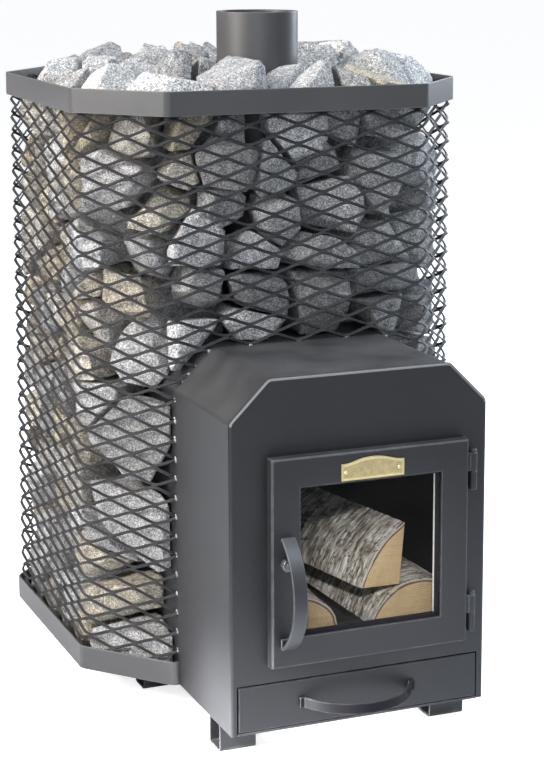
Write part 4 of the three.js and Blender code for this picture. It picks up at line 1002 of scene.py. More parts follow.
class STOVE_OT_mesh(Operator):
    """Slit, stretch and fold the expanded metal, trim it round the firebox and weld it there"""

    bl_idname = "stove.mesh"
    bl_label = "Expanded metal"

    def execute(self, context):
        sizes = context.scene.stove_cage
        lap = lap_table(sizes.mesh_inset, sizes.bend)
        pitch = lap[0][-1] / sizes.mesh_columns
        sheet = self.stretch(sizes, pitch)
        self.fold(sheet, lap)
        self.trim(sheet)
        place(sheet, "mesh_paint", "stove", "cage_paint", "cage_mesh")
        self.weld(sheet)
        return {"FINISHED"}

    def one_strand(self, sizes, pitch):
        """One pitch of one strand, flat: X along the cage, Y inwards, Z up."""
        lean = sizes.strand_lean
        across = Vector((0.0, math.sin(lean), math.cos(lean)))
        through = Vector((0.0, math.cos(lean), -math.sin(lean)))
        half_width = across * (sizes.strand_width / 2 - STRAND_SHY)
        half_thick = through * sizes.strand_thickness / 2
        low = across * sizes.strand_width / 2
        high = Vector((0.0, 0.0, sizes.mesh_short / 2)) - across * sizes.strand_width / 2
        section = [low + half_width * a + half_thick * b for a, b in ((-1, -1), (1, -1), (1, 1), (-1, 1))]
        strand = outline("expanded_sheet", section)
        flat = Vector((sizes.bond_length / 2, 0.0, 0.0))
        rise = high - low
        run = Vector(((pitch / 2 - sizes.bond_length) / len(STRAND_BEND), 0.0, 0.0))
        climb = [run + rise * share for share in STRAND_BEND]
        drop = [run - rise * share for share in STRAND_BEND]
        edit(strand)
        for step in [flat, *climb, flat * 2, *drop, flat]:
            extrude(step)
        leave_edit()
        return strand

    def stretch(self, sizes, pitch):
        """The whole flat sheet: strands side by side, every other one half a pitch along."""
        sheet = self.one_strand(sizes, pitch)
        modify(sheet, "ARRAY", count=sizes.mesh_columns, use_relative_offset=False, use_constant_offset=True,
               constant_offset_displace=(pitch, 0.0, 0.0), use_merge_vertices=True, merge_threshold=MERGE)
        bpy.ops.object.duplicate(linked=False)
        shifted = bpy.context.object
        shifted.location = (pitch / 2, 0.0, sizes.mesh_short / 2)
        settle(shifted)
        rows = sizes.mesh_rows
        for strand, count in ((sheet, (rows + 1) // 2), (shifted, rows // 2)):
            modify(strand, "ARRAY", count=count, use_relative_offset=False, use_constant_offset=True,
                   constant_offset_displace=(0.0, 0.0, sizes.mesh_short))
        sheet = join([sheet, shifted], "expanded_sheet")
        below = math.floor((sizes.knot_height - LOWEST_KNOT) / sizes.mesh_short)
        sheet.location.z = sizes.knot_height - below * sizes.mesh_short
        settle(sheet)
        return sheet

    def fold(self, sheet, lap):
        """Wraps the flat sheet round the cage and closes it at the back."""
        spots = np.empty(len(sheet.data.vertices) * 3, np.float32)
        sheet.data.vertices.foreach_get("co", spots)
        spots = spots.reshape(-1, 3)
        spots[:, 0], spots[:, 1] = on_lap(lap, spots[:, 0], spots[:, 1])
        sheet.data.vertices.foreach_set("co", spots.ravel())
        edit(sheet)
        merge_and_face_out()
        leave_edit()

    def trim(self, sheet):
        """Cuts the sheet where the firebox comes through its front."""
        foot, *arch, last = tunnel_outline(TRIM)
        ends = [(foot[0], foot[1] - TRIM_BELOW), *arch, (last[0], last[1] - TRIM_BELOW)]
        near = CAD_BOX[0].y
        cutter = outline("firebox_cutter", [(x, near, z) for x, z in ends])
        edit(cutter)
        bpy.ops.mesh.edge_face_add()
        extrude((0.0, -near, 0.0))
        merge_and_face_out()
        leave_edit()
        modify(sheet, "BOOLEAN", operation="DIFFERENCE", object=cutter, solver="EXACT")
        take(cutter)
        bpy.ops.object.delete()
        take(sheet)
        bpy.ops.object.shade_flat()

    def weld(self, sheet):
        """A bead of weld at each end that the trimming left."""
        walls = tunnel_outline(TRIM)
        rng = random.Random(WELD_SEED)
        ends = [face.center.copy() for face in sheet.data.polygons if self.on_wall(face, walls)]
        # The cut leaves its faces in no fixed order
        ends.sort(key=lambda spot: [round(part, 4) for part in spot.xzy])
        beads = []
        for spot in ends:
            bead = add("ico_sphere", "bead", subdivisions=2, radius=rng.uniform(*WELD_SIZE), location=spot)
            bead.scale = [rng.uniform(*limits) for limits in WELD_STRETCH]
            bead.rotation_euler = [rng.uniform(0.0, 3.0) for _ in range(3)]
            beads.append(bead)
        welds = join(beads, "mesh_welds")
        settle(welds)
        bpy.ops.object.shade_smooth()
        place(welds, "weld_metal", "stove", "cage_paint")

    def on_wall(self, face, walls):
        """Whether a face lies on one of the firebox's walls, where the sheet was cut."""
        spot = face.center
        if spot.y > 0.0 or face.area < LEAST_END:
            return False
        for (x0, z0), (x1, z1) in zip(walls, walls[1:]):
            run = Vector((x1 - x0, z1 - z0)).normalized()
            away = Vector((spot.x - x0, spot.z - z0))
            off = away.x * run.y - away.y * run.x
            side = face.normal.x * run.y - face.normal.z * run.x
            if abs(off) < ON_WALL and abs(side) > 0.99:
                return True
        return False


# Stones


# Painted light and shade: each heap's stones made paler or darker for how the light falls on that side,
# darker on the left, paler on the front and on the right over the rim, darker elsewhere over the rim
PAINTED_HEAP_LIGHT = {"left": 0.72, "front": 1.25, "right": 1.0, "back": 1.0, "top_right": 1.25}
PAINTED_RIM_LIGHT, SHADE_SPREAD = 0.88, 0.24
TAN_WARMTH, GREY_WARMTH = (0.35, 0.95), (0.0, 0.12)
UP = Vector((0.0, 0.0, 1.0))
# Middles of the side stones: depth behind the mesh, least room to the firebox, neighbours that bound one
SIDE_DEPTH, SIDE_ROOM, SIDE_NEIGHBOURS = 0.044, 0.016, 18
# Their chance shifts up or down, as a share of the course, and outwards; their weight against a neighbour
COURSE_WAVER, SIDE_PUSH, SIDE_WEIGHT = 0.34, (-0.012, 0.008), (0.36, 0.64)
# Chance share of the gap that a stone leaves to a neighbour, and how far its faces lie back from a bound
SIDE_GAP, TOP_GAP = (0.1, 0.9), (0.2, 0.9)
MESH_BACK, CEILING_BACK, RIM_BACK = 0.003, 0.004, 0.002
CEILING_AIR = 0.0005
# Where the left and right heaps begin, and where the tan stones lie
SIDE_HEAP, TAN_SIDE, TAN_HEIGHT = 0.18, -0.14, 0.42
# Chance of a tan stone: high and low on that side, and over the rim
TAN_ABOVE, TAN_BELOW, TOP_TAN = 0.85, 0.5, 0.14
# Knapping: number of cuts, how far cuts of the face turn from the way out, and where cuts lie in the reach
FACE_KNAPS, SIDE_KNAPS, TOP_KNAPS = 3, (6, 9), (4, 7)
FACE_SPREAD = (0.35, 0.95)
FACE_CUT, ROUNDER_CUT, SIDE_CUT, TOP_CUT = (0.60, 0.88), (0.84, 0.97), (0.60, 0.90), (0.72, 0.94)
# Left of this the faces are cut less deeply
ROUNDER_SIDE = -0.2
TOP_SEED = 37
# Cells over the rim: chance of the rise, lean of the crown, rise and reach of the facets, farthest neighbour
RISE_WAVER, CROWN_LEAN, FACET_RISE, FACET_WAVER, FACET_REACH, NEAR_CELLS = 0.4, 0.9, 0.6, 0.5, 0.54, 2.2
# A cell broken in two: lean and shift of the break, and its share of the gap on each side
BREAK_LEAN, BREAK_SHIFT, BREAK_GAP = 0.4, 0.012, 0.6
FLUE_AIR, FIREBOX_AIR = 0.001, 0.002
BLOCK_SIZE = 0.19
# Texture, grain and strength of the stones' relief, and the grey at which it leaves a face in place
STONE_RELIEF = (("stone_lumps", 0.028, 0.0042), ("stone_chips", 0.008, 0.0022))
RELIEF_LEVEL = 0.56


def chance_from(seed):
    """The row of chance numbers that the solids of the top heap were laid with."""
    state = seed

    def draw():
        nonlocal state
        state = (state + 0x6D2B79F5) & WORD
        mixed = ((state ^ (state >> 15)) * (1 | state)) & WORD
        mixed ^= (mixed + ((mixed ^ (mixed >> 7)) * (61 | mixed))) & WORD
        return (mixed ^ (mixed >> 14)) / (WORD + 1)

    return draw


class STOVE_OT_stones(Operator):
    """Break the granite and pile it behind the mesh and over the rim"""

    bl_idname = "stove.stones"
    bl_label = "Stones"

    def execute(self, context):
        sizes = context.scene.stove_stones
        rng = random.Random(sizes.seed)
        heaps = {}
        for block in self.courses(sizes, rng) + self.crown(sizes, rng):
            heaps.setdefault(block["heap"], []).append(self.break_stone(block, rng))
        for heap, stones in heaps.items():
            self.pile(heap, stones, sizes)
        return {"FINISHED"}

    def courses(self, sizes, rng):
        """Blocks for the stones that stand behind the mesh, course by course round the cage."""
        lap = lap_table(sizes.inset + SIDE_DEPTH, bpy.context.scene.stove_cage.bend)
        low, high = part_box("stones_left")[0].z, self.bed(sizes)
        rows = round((high - low) / sizes.row_height)
        height = (high - low) / rows
        seeds = []
        for row in range(rows):
            along = rng.uniform(0.0, sizes.longest)
            while along < lap[0][-1] - sizes.shortest * 0.6:
                step = rng.uniform(sizes.shortest, sizes.longest)
                x, y = on_lap(lap, np.array([along, along + step]), np.array([0.0, 0.0]))
                run = Vector((float(x[1] - x[0]), float(y[1] - y[0]), 0.0)).normalized()
                z = low + height * (row + 0.5 + rng.uniform(-COURSE_WAVER, COURSE_WAVER))
                point = Vector((float(x.mean()), float(y.mean()), z))
                out = Vector((run.y, -run.x, 0.0))
                point += out * rng.uniform(*SIDE_PUSH)
                if self.clear_of_firebox(point) > SIDE_ROOM:
                    seeds.append((point, out, rng.uniform(*SIDE_WEIGHT)))
                along += step
        return [self.side_block(seeds, seed, sizes, rng) for seed in seeds]

    def side_block(self, seeds, seed, sizes, rng):
        here, out, weight = seed
        planes = []
        by_distance = sorted(seeds, key=lambda other: (other[0] - here).length_squared)
        for other, _, other_weight in by_distance[1:SIDE_NEIGHBOURS + 1]:
            way = other - here
            middle = here + way * (weight / (weight + other_weight))
            gap = way.normalized() * sizes.gap * rng.uniform(*SIDE_GAP)
            planes.append((middle - gap, way.normalized()))
        for spot, normal in self.cage_planes(sizes.inset):
            planes.append((spot - normal * abs(rng.gauss(0.0, MESH_BACK)), normal))
        spot, normal = max(self.firebox_planes(), key=lambda plane: (here - plane[0]).dot(plane[1]))
        planes += [(spot, -normal), self.flue_plane(here)]
        planes.append((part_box("stones_left")[0], -UP))
        ceiling = self.bed(sizes) - CEILING_AIR - abs(rng.gauss(0.0, CEILING_BACK))
        planes.append((UP * ceiling, UP))
        heap = "front" if here.y < 0.0 else "back"
        if abs(here.x) > SIDE_HEAP:
            heap = "left" if here.x < 0.0 else "right"
        chance = 0.0
        if here.x < TAN_SIDE:
            chance = TAN_ABOVE if here.z > TAN_HEIGHT else TAN_BELOW
        cut = FACE_CUT if here.x > ROUNDER_SIDE else ROUNDER_CUT
        knaps = [(out, *cut)] * FACE_KNAPS + [(None, *SIDE_CUT)] * rng.randint(*SIDE_KNAPS)
        return self.block(heap, here, planes, knaps, chance, rng)

    def crown(self, sizes, rng):
        """Blocks for the heap over the rim, in the same cells as its solids."""
        chance = chance_from(TOP_SEED)
        low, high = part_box("top_band")
        bed = self.bed(sizes)
        inset, pitch = sizes.top_inset, sizes.top_pitch
        rim = self.cage_planes(inset)
        width, depth = high.x - low.x - 2 * inset, high.y - low.y - 2 * inset
        rows, columns = round(depth / (pitch * math.sin(math.pi / 3))), round(width / pitch)
        seeds = []
        for cell in range(rows * columns):
            row, column = divmod(cell, columns)
            jitter = [(chance() - 0.5) * 2 * sizes.top_jitter for _ in range(3)]
            x = low.x + inset + width / columns * (column + 0.25 + (row % 2) / 2) + jitter[0]
            y = low.y + inset + depth / rows * (row + 0.5) + jitter[1]
            point = Vector((x, y, (bed + high.z) / 2 + jitter[2]))
            room = min((spot - point).dot(normal) for spot, normal in rim)
            if min(room, self.from_flue(point)) > pitch / 4:
                seeds.append(point)
        blocks = []
        for here in seeds:
            blocks += self.top_blocks(seeds, here, rim, bed, sizes, chance, rng)
        return blocks

    def top_planes(self, seeds, here, rim, bed, sizes, chance, rng):
        """The planes that bound one cell of the heap over the rim."""
        pitch = sizes.top_pitch
        room = min((spot - here).dot(normal) for spot, normal in rim)
        rise = min(1.0, room / sizes.top_shoulder) + RISE_WAVER * (chance() - 0.5)
        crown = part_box("top_band")[1].z + sizes.top_rise * rise
        lean = Vector(((chance() - 0.5) * CROWN_LEAN, (chance() - 0.5) * CROWN_LEAN, 1.0)).normalized()
        planes = [(Vector((here.x, here.y, crown)), lean), self.flue_plane(here)]
        planes.append((UP * bed, -UP))
        turn = chance() * math.pi
        for facet in range(3):
            angle = turn + facet * math.tau / 3
            steep = FACET_RISE + FACET_WAVER * chance()
            tilt = Vector((math.cos(angle), math.sin(angle), steep)).normalized()
            planes.append((here + tilt * (pitch / 2 + crown - here.z) * FACET_REACH, tilt))
        for other in seeds:
            way = other - here
            if 0.0 < way.length < NEAR_CELLS * pitch:
                reach = way.length / 2 - sizes.gap * rng.uniform(*TOP_GAP)
                planes.append((here + way.normalized() * reach, way.normalized()))
        for spot, normal in rim:
            planes.append((spot - normal * abs(rng.gauss(0.0, RIM_BACK)), normal))
        return planes

    def top_blocks(self, seeds, here, rim, bed, sizes, chance, rng):
        """One cell of the heap over the rim, as one stone or as two."""
        planes = self.top_planes(seeds, here, rim, bed, sizes, chance, rng)
        y, radius = flue_circle()
        heap = "top_front" if here.y < y else "top_back"
        if abs(here.x) > 2 * radius:
            heap = "top_left" if here.x < 0.0 else "top_right"
        knaps = [(None, *TOP_CUT)] * rng.randint(*TOP_KNAPS)
        cuts = [[]]
        if rng.random() < sizes.top_broken:
            angle = rng.uniform(0.0, math.pi)
            lean = rng.uniform(-BREAK_LEAN, BREAK_LEAN)
            across = Vector((math.cos(angle), math.sin(angle), lean)).normalized()
            middle = here + across * rng.uniform(-BREAK_SHIFT, BREAK_SHIFT)
            gap = across * sizes.gap * BREAK_GAP
            cuts = [[(middle - gap, across)], [(middle + gap, -across)]]
        return [self.block(heap, here, planes + cut, knaps, TOP_TAN, rng) for cut in cuts]

    def block(self, heap, here, planes, knaps, warm_chance, rng):
        warm = rng.uniform(*(TAN_WARMTH if rng.random() < warm_chance else GREY_WARMTH))
        # The stone's own chance tone, times its heap's painted light or shade
        shade = min(1.0, max(0.0, rng.gauss(0.5, SHADE_SPREAD)) * PAINTED_HEAP_LIGHT.get(heap, PAINTED_RIM_LIGHT))
        return {"heap": heap, "at": here, "planes": planes, "knaps": knaps, "warm": warm, "shade": shade}

    def bed(self, sizes):
        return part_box("top_band")[1].z - sizes.top_bed

    def from_flue(self, point):
        y, radius = flue_circle()
        return math.hypot(point.x, point.y - y) - radius

    def flue_plane(self, here):
        y, radius = flue_circle()
        way = Vector((-here.x, y - here.y, 0.0)).normalized()
        return Vector((0.0, y, 0.0)) - way * (radius + FLUE_AIR), way

    def cage_planes(self, inset):
        corners = inset_outline(cage_outline(), inset)
        planes = []
        for i, corner in enumerate(corners):
            out = -inward(corners[i - 1], corner)
            planes.append((Vector((*corner, 0.0)), Vector((*out, 0.0))))
        return planes

    def firebox_planes(self):
        """The firebox's outer faces as planes: walls, shoulders, top and back."""
        ends = tunnel_outline(FIREBOX_AIR)
        planes = []
        for (x0, z0), (x1, z1) in zip(ends, ends[1:]):
            run = Vector((x1 - x0, 0.0, z1 - z0)).normalized()
            planes.append((Vector((x0, 0.0, z0)), Vector((-run.z, 0.0, run.x))))
        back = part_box("firebox_back")[1].y + FIREBOX_AIR
        planes.append((Vector((0.0, back, 0.0)), Vector((0.0, 1.0, 0.0))))
        return planes

    def clear_of_firebox(self, point):
        return max((point - spot).dot(normal) for spot, normal in self.firebox_planes())

    def break_stone(self, block, rng):
        """One stone: a block cut by its bounding planes, then knapped by chance cuts."""
        stone = add("cube", "stone", size=BLOCK_SIZE, location=block["at"])
        settle(stone)
        edit(stone)
        for spot, normal in block["planes"]:
            self.split(stone, spot, normal)
        for out, deep, shallow in block["knaps"]:
            normal = Vector((rng.gauss(0, 1), rng.gauss(0, 1), rng.gauss(0, 1))).normalized()
            if out is not None:
                normal = (out + normal * rng.uniform(*FACE_SPREAD)).normalized()
            corners = [v.co.copy() for v in bmesh.from_edit_mesh(stone.data).verts]
            middle = sum(corners, Vector()) / len(corners)
            reach = max((corner - middle).dot(normal) for corner in corners)
            self.split(stone, middle + normal * reach * rng.uniform(deep, shallow), normal)
        bpy.ops.mesh.select_all(action="SELECT")
        bpy.ops.mesh.dissolve_limited(angle_limit=math.radians(4))
        leave_edit()
        # stone_shade: the stone's chance tone with its heap's painted light or shade
        for key in ("shade", "warm"):
            layer = stone.data.attributes.new("stone_" + key, "FLOAT", "POINT")
            layer.data.foreach_set("value", [block[key]] * len(stone.data.vertices))
        return stone

    def split(self, stone, spot, normal):
        """Cuts off what lies beyond a plane, if anything does."""
        corners = [v.co for v in bmesh.from_edit_mesh(stone.data).verts]
        if max((corner - spot).dot(normal) for corner in corners) > MERGE:
            bpy.ops.mesh.select_all(action="SELECT")
            bpy.ops.mesh.bisect(plane_co=spot, plane_no=normal, use_fill=True, clear_outer=True)

    def pile(self, heap, stones, sizes):
        """Joins a heap's stones and roughens them."""
        obj = join(stones, f"granite_{heap}")
        detail = sizes.detail
        modify(obj, "SUBSURF", subdivision_type="SIMPLE", levels=detail, render_levels=detail)
        modify(obj, "SMOOTH", factor=0.4, iterations=1)
        for name, grain, strength in STONE_RELIEF:
            clouds = bpy.data.textures.get(name) or bpy.data.textures.new(name, "CLOUDS")
            clouds.noise_scale = grain
            clouds.noise_depth = 3
            modify(obj, "DISPLACE", texture=clouds, texture_coords="LOCAL", strength=strength,
                   mid_level=RELIEF_LEVEL)
        bpy.ops.object.shade_smooth()
        place(obj, "granite", "stove", "granite", f"stones_{heap}")


# Firebox, flue and feet


PLATE_RIM, PLATE_ROUND, PLATE_EASE = 0.0035, 0.0028, 0.0007
SHELL_THICKNESS, SHELL_EASE = 0.005, 0.0004
TOP_FOLD, WALL_FOLD = 0.0083, 0.0037
FLUE_WALL, FLUE_EASE = 0.004, 0.0006


class STOVE_OT_firebox(Operator):
    """Ease the firebox's plates, with the rounded corner of the front plate and a painted highlight on it"""

    bl_idname = "stove.firebox"
    bl_label = "Firebox"

    def execute(self, context):
        self.front_plate()
        self.tunnel()
        for node, ease in (("firebox_back", 0.001), ("bottom_plate", 0.0005), ("cage_floor", 0.0005)):
            ease_copy(node, ease, "satin_paint", "stove", "black_paint")
        for node in ("hearth_plate", "baffle_plate"):
            ease_copy(node, 0.0006, "sooty_plate", "stove", "bare_plate")
        return {"FINISHED"}

    def front_plate(self):
        """The front plate with its outer corner rounded, and a painted highlight: a paler paint on the
        rounded edge along the top and the shoulders.
        """
        plate = copy_of("front_plate")
        low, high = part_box("front_plate")

        def outer(spot):
            shoulder = abs(spot.x) + spot.z > high.x + high.z - SHOULDER - PLATE_RIM
            return abs(spot.x) > high.x - PLATE_RIM or spot.z > high.z - PLATE_RIM or shoulder

        def front(edge, least_angle):
            flush = all(abs(v.co.y - low.y) < MERGE for v in edge.verts)
            return flush and edge.calc_face_angle(0.0) > least_angle

        # The rounded faces along the top and the shoulders, which get the painted highlight
        def painted_highlight_face(face):
            return 0.15 < abs(face.normal.y) < 0.97 and face.center.z > high.z - SHOULDER - 0.003

        edit(plate)
        pick(plate, "edges", lambda e: front(e, 0.5) and all(outer(v.co) for v in e.verts))
        bpy.ops.mesh.bevel(offset=PLATE_ROUND, segments=4)
        pick(plate, "edges", lambda e: front(e, 0.8))
        bpy.ops.mesh.bevel(offset=PLATE_EASE, segments=2)
        leave_edit()
        soften_shading(plate)
        place(plate, "plate_paint", "stove", "black_paint", "front_plate")
        # Painted highlight: a paler paint on those faces
        second_finish(plate, "ground_edge", painted_highlight_face)

    def tunnel(self):
        """The folded wall, from the front plate to the back, open where the flue stands on it."""
        low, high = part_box("firebox_shell")
        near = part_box("front_plate")[1].y
        shell = outline("folded_shell", [(x, near, z) for x, z in tunnel_outline(0.0)], closed=False)
        edit(shell)
        pick(shell, "verts", lambda v: v.co.z > high.z - MERGE)
        bpy.ops.mesh.bevel(offset=TOP_FOLD, segments=12, affect="VERTICES")
        pick(shell, "verts", lambda v: abs(v.co.x) > high.x - MERGE and v.co.z > low.z + MERGE)
        bpy.ops.mesh.bevel(offset=WALL_FOLD, segments=8, affect="VERTICES")
        bpy.ops.mesh.select_all(action="SELECT")
        extrude((0.0, high.y - near, 0.0))
        merge_and_face_out()
        highest = max(bmesh.from_edit_mesh(shell.data).faces, key=lambda f: f.calc_center_median().z)
        if highest.normal.z < 0.0:
            bpy.ops.mesh.flip_normals()
        leave_edit()
        modify(shell, "SOLIDIFY", thickness=SHELL_THICKNESS, offset=-1.0)
        y, radius = flue_circle()
        drill = add("cylinder", "flue_drill", vertices=64, radius=radius - FLUE_WALL, depth=0.06,
                    location=(0.0, y, high.z))
        settle(drill)
        modify(shell, "BOOLEAN", object=drill, operation="DIFFERENCE", solver="EXACT")
        bpy.data.objects.remove(drill)
        ease_edges(shell, SHELL_EASE, 1, 40.0)
        place(shell, "plate_paint", "stove", "black_paint", "firebox_shell")


class STOVE_OT_flue(Operator):
    """Roll the flue stub"""

    bl_idname = "stove.flue"
    bl_label = "Flue stub"

    def execute(self, context):
        low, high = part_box("flue_stub")
        y, radius = flue_circle()
        flue = add("circle", "rolled_flue", vertices=96, radius=radius, fill_type="NOTHING",
                   location=(0.0, y, low.z))
        settle(flue)
        edit(flue)
        extrude((0.0, 0.0, high.z - low.z))
        leave_edit()
        face_away(flue, (0.0, y))
        modify(flue, "SOLIDIFY", thickness=FLUE_WALL, offset=-1.0)
        ease_edges(flue, FLUE_EASE, 2, 50.0)
        place(flue, "cage_paint", "stove", "cage_paint", "flue_stub")
        return {"FINISHED"}


class STOVE_OT_feet(Operator):
    """Ease the six tube feet"""

    bl_idname = "stove.feet"
    bl_label = "Feet"

    def execute(self, context):
        for row in ("front", "middle", "rear"):
            for side in ("left", "right"):
                ease_copy(f"foot_{row}_{side}", 0.0008, "satin_paint", "stove", "black_paint")
        return {"FINISHED"}


# Door, drawer and firewood


STRIP_WIDTH, STRIP_EASE = 0.0145, 0.0003
BEAD_WIDTH, BEAD_DEPTH, BEAD_GAP, BEAD_EASE = 0.0014, 0.0024, 0.0001, 0.0004
CROWN, PLATE_EDGE = 0.007, 0.00022
RIM_WIDTH, RIM_DEPTH = 0.0020, 0.0008
FIELD_INSET, FIELD_RISE = 0.0014, 0.0003
RIVET_RADIUS, RIVET_HEIGHT, RIVET_SHANK = 0.0022, 0.0011, 0.0004
RIVET_OUT, RIVET_UP = 0.0375, 0.011
KNUCKLE_RADIUS, KNUCKLE_EASE = 0.0055, 0.0007
FINIAL_HEIGHT, FINIAL_HALF, FINIAL_NECK = 0.0055, 0.0027, 0.0003
WEB_HALF, WEB_LAP, WEB_EASE = 0.003, 0.002, 0.0008
STRAP_THICKNESS, STRAP_EASE = 0.004, 0.0008


class STOVE_OT_door(Operator):
    """Ease the door's frame and glass"""

    bl_idname = "stove.door"
    bl_label = "Fire door"

    def execute(self, context):
        ease_copy("door_frame", 0.0011, "satin_paint", "fire_door", "black_paint", 3)
        ease_copy("door_glass", 0.0004, "clear_glass", "fire_door", "ceramic_glass", 3)
        low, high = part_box("glass_retainer")
        strip = self.ring("glass_strip", low, high, STRIP_WIDTH)
        place(strip, "sooty_plate", "fire_door", "bare_plate", "glass_retainer")
        inset = STRIP_WIDTH + BEAD_GAP
        edge = high.x - inset
        start = (edge - BEAD_WIDTH, low.y, low.z + inset)
        end = (edge, low.y + BEAD_DEPTH, high.z - inset)
        bead = eased_block("glass_bead", start, end, BEAD_EASE)
        place(bead, "white_rope", "fire_door", "white_rope")
        return {"FINISHED"}

    def ring(self, name, low, high, width):
        """A flat frame behind the glass."""
        corners = ((low.x, low.z), (high.x, low.z), (high.x, high.z), (low.x, high.z))
        obj = outline(name, [(x, low.y, z) for x, z in corners])
        edit(obj)
        bpy.ops.mesh.edge_face_add()
        bpy.ops.mesh.inset(thickness=width)
        bpy.ops.mesh.delete(type="FACE")
        bpy.ops.mesh.select_all(action="SELECT")
        extrude((0.0, high.y - low.y, 0.0))
        merge_and_face_out()
        leave_edit()
        ease_edges(obj, STRIP_EASE)
        return obj


class STOVE_OT_nameplate(Operator):
    """Cast the bare brass plate with its rim and two rivets"""

    bl_idname = "stove.nameplate"
    bl_label = "Brass plate"

    def execute(self, context):
        low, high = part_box("nameplate")
        middle = (low.x + high.x) / 2
        plate = outline("cast_plate", self.arched(low, high, middle))
        edit(plate)
        bpy.ops.mesh.edge_face_add()
        extrude((0.0, low.y - high.y, 0.0))
        merge_and_face_out()
        pick(plate, "faces", lambda f: f.normal.y < -0.9)
        bpy.ops.mesh.inset(thickness=RIM_WIDTH)
        extrude((0.0, RIM_DEPTH, 0.0))
        bpy.ops.mesh.inset(thickness=FIELD_INSET)
        extrude((0.0, -FIELD_RISE, 0.0))
        leave_edit()
        ease_edges(plate, PLATE_EDGE, 2, 40.0)
        back, level = high.y - RIVET_HEIGHT, low.z + RIVET_UP
        rivets = [self.rivet(middle + out, back, level) for out in (-RIVET_OUT, RIVET_OUT)]
        plate = join([plate, *rivets], "cast_plate")
        place(plate, "cast_brass", "fire_door", "brass", "nameplate")

        def field(face):
            return face.normal.y < -0.9 and face.center.y > low.y + 0.0003 and face.area > 1e-5

        second_finish(plate, "aged_brass", field)
        return {"FINISHED"}

    def arched(self, low, high, middle):
        """The plate's outline: square foot and ends, an ogee crown."""
        half = (high.x - low.x) / 2
        eaves = high.z - CROWN
        bow = []
        for step in range(15):
            t = step / 14
            keep = 1.0 - t
            x = keep**3 * half + 3 * keep**2 * t * half * 0.6 + 3 * keep * t**2 * half * 0.5
            bow.append((x, eaves + CROWN * (3 * keep * t**2 + t**3)))
        line = [(half, low.z), *bow, *[(-x, z) for x, z in reversed(bow[:-1])], (-half, low.z)]
        return [(middle + x, high.y, z) for x, z in line]

    def rivet(self, x, y, z):
        angles = np.linspace(0.0, math.pi / 2, 6)
        profile = [(RIVET_RADIUS * math.cos(a), RIVET_HEIGHT * math.sin(a)) for a in angles]
        dome = turned("rivet", [(RIVET_RADIUS, -RIVET_SHANK), *profile], (0.0, 0.0), 18)
        dome.rotation_euler = (math.pi / 2, 0.0, 0.0)
        dome.location = (x, y, z)
        settle(dome)
        return dome


class STOVE_OT_hinges(Operator):
    """Turn the hinge knuckles and weld their webs"""

    bl_idname = "stove.hinges"
    bl_label = "Hinges"

    def execute(self, context):
        for level in ("upper", "lower"):
            self.knuckle(f"door_knuckle_{level}", "fire_door", True)
            self.knuckle(f"frame_knuckle_{level}", "stove", False)
        return {"FINISHED"}

    def knuckle(self, node, body, on_door):
        """A turned barrel round the pin and a web to the door's edge or back to the front plate."""
        low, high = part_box(node)
        start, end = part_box("hinge_pin_" + node.split("_")[-1])
        x, y = (start.x + end.x) / 2, (start.y + end.y) / 2
        radius = KNUCKLE_RADIUS
        top = high.z - FINIAL_HEIGHT if on_door else high.z
        profile = [(0.0, low.z), (radius - KNUCKLE_EASE, low.z), (radius, low.z + KNUCKLE_EASE)]
        profile += [(radius, top - KNUCKLE_EASE), (radius - KNUCKLE_EASE, top)]
        if on_door:
            ball = [(0.9 * radius * math.cos(a), high.z - FINIAL_HALF + FINIAL_HALF * math.sin(a))
                    for a in np.linspace(-0.9, math.pi / 2, 9)]
            profile += [(radius * 0.55, top + FINIAL_NECK), *ball[:-1], (0.0, high.z)]
            corners = (low.x, y - WEB_HALF, low.z), (x - WEB_LAP, y + WEB_HALF, top)
        else:
            profile.append((0.0, top))
            corners = (x - WEB_HALF, y + WEB_LAP, low.z), (x + WEB_HALF, high.y, top)
        barrel = turned(f"turned_{node}", profile, (x, y))
        web = eased_block("web", *corners, WEB_EASE)
        obj = join([barrel, web], f"turned_{node}")
        place(obj, "satin_paint", body, "black_paint", node)


def bow_line(span, bow, steps):
    """Points along a shallow arc of that span and height, as (along, away)."""
    radius = (span * span / 4 + bow * bow) / (2 * bow)
    half = math.asin(span / 2 / radius)
    line = []
    for step in range(steps + 1):
        angle = half * (2 * step / steps - 1)
        line.append((radius * math.sin(angle), radius * math.cos(angle) - (radius - bow)))
    return line


class STOVE_OT_handle(Operator):
    """Bow the door's strap handle and ease its bush and spindle"""

    bl_idname = "stove.handle"
    bl_label = "Door handle"

    def execute(self, context):
        span, bow, tail, turn = 0.146, 0.042, 0.014, 0.002
        off, rise, wider = 0.005, 0.027, 0.001
        low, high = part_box("handle_strap")
        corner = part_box("door_frame")[0]
        near, foot = corner.y - off, corner.z + rise
        line = [(near, foot + tail), (near, foot + turn)]
        line += [(near - away, foot + span / 2 + along) for along, away in bow_line(span, bow, 40)[1:]]
        width = high.x - low.x + 2 * wider
        strap = ribbon("bowed_strap", [(low.x - wider, y, z) for y, z in line], (width, 0.0, 0.0))
        place(strap, "strap_paint", "door_latch", "black_paint", "handle_strap")
        for node, body, ease, slot in (
            ("handle_bush", "fire_door", 0.0007, "turned_steel"),
            ("handle_spindle", "door_latch", 0.0006, "turned_steel"),
            ("spindle_nut", "door_latch", 0.0006, "bare_plate"),
            ("latch_cam", "door_latch", 0.0006, "bare_plate"),
        ):
            ease_copy(node, ease, "turned_steel", body, slot)
        return {"FINISHED"}


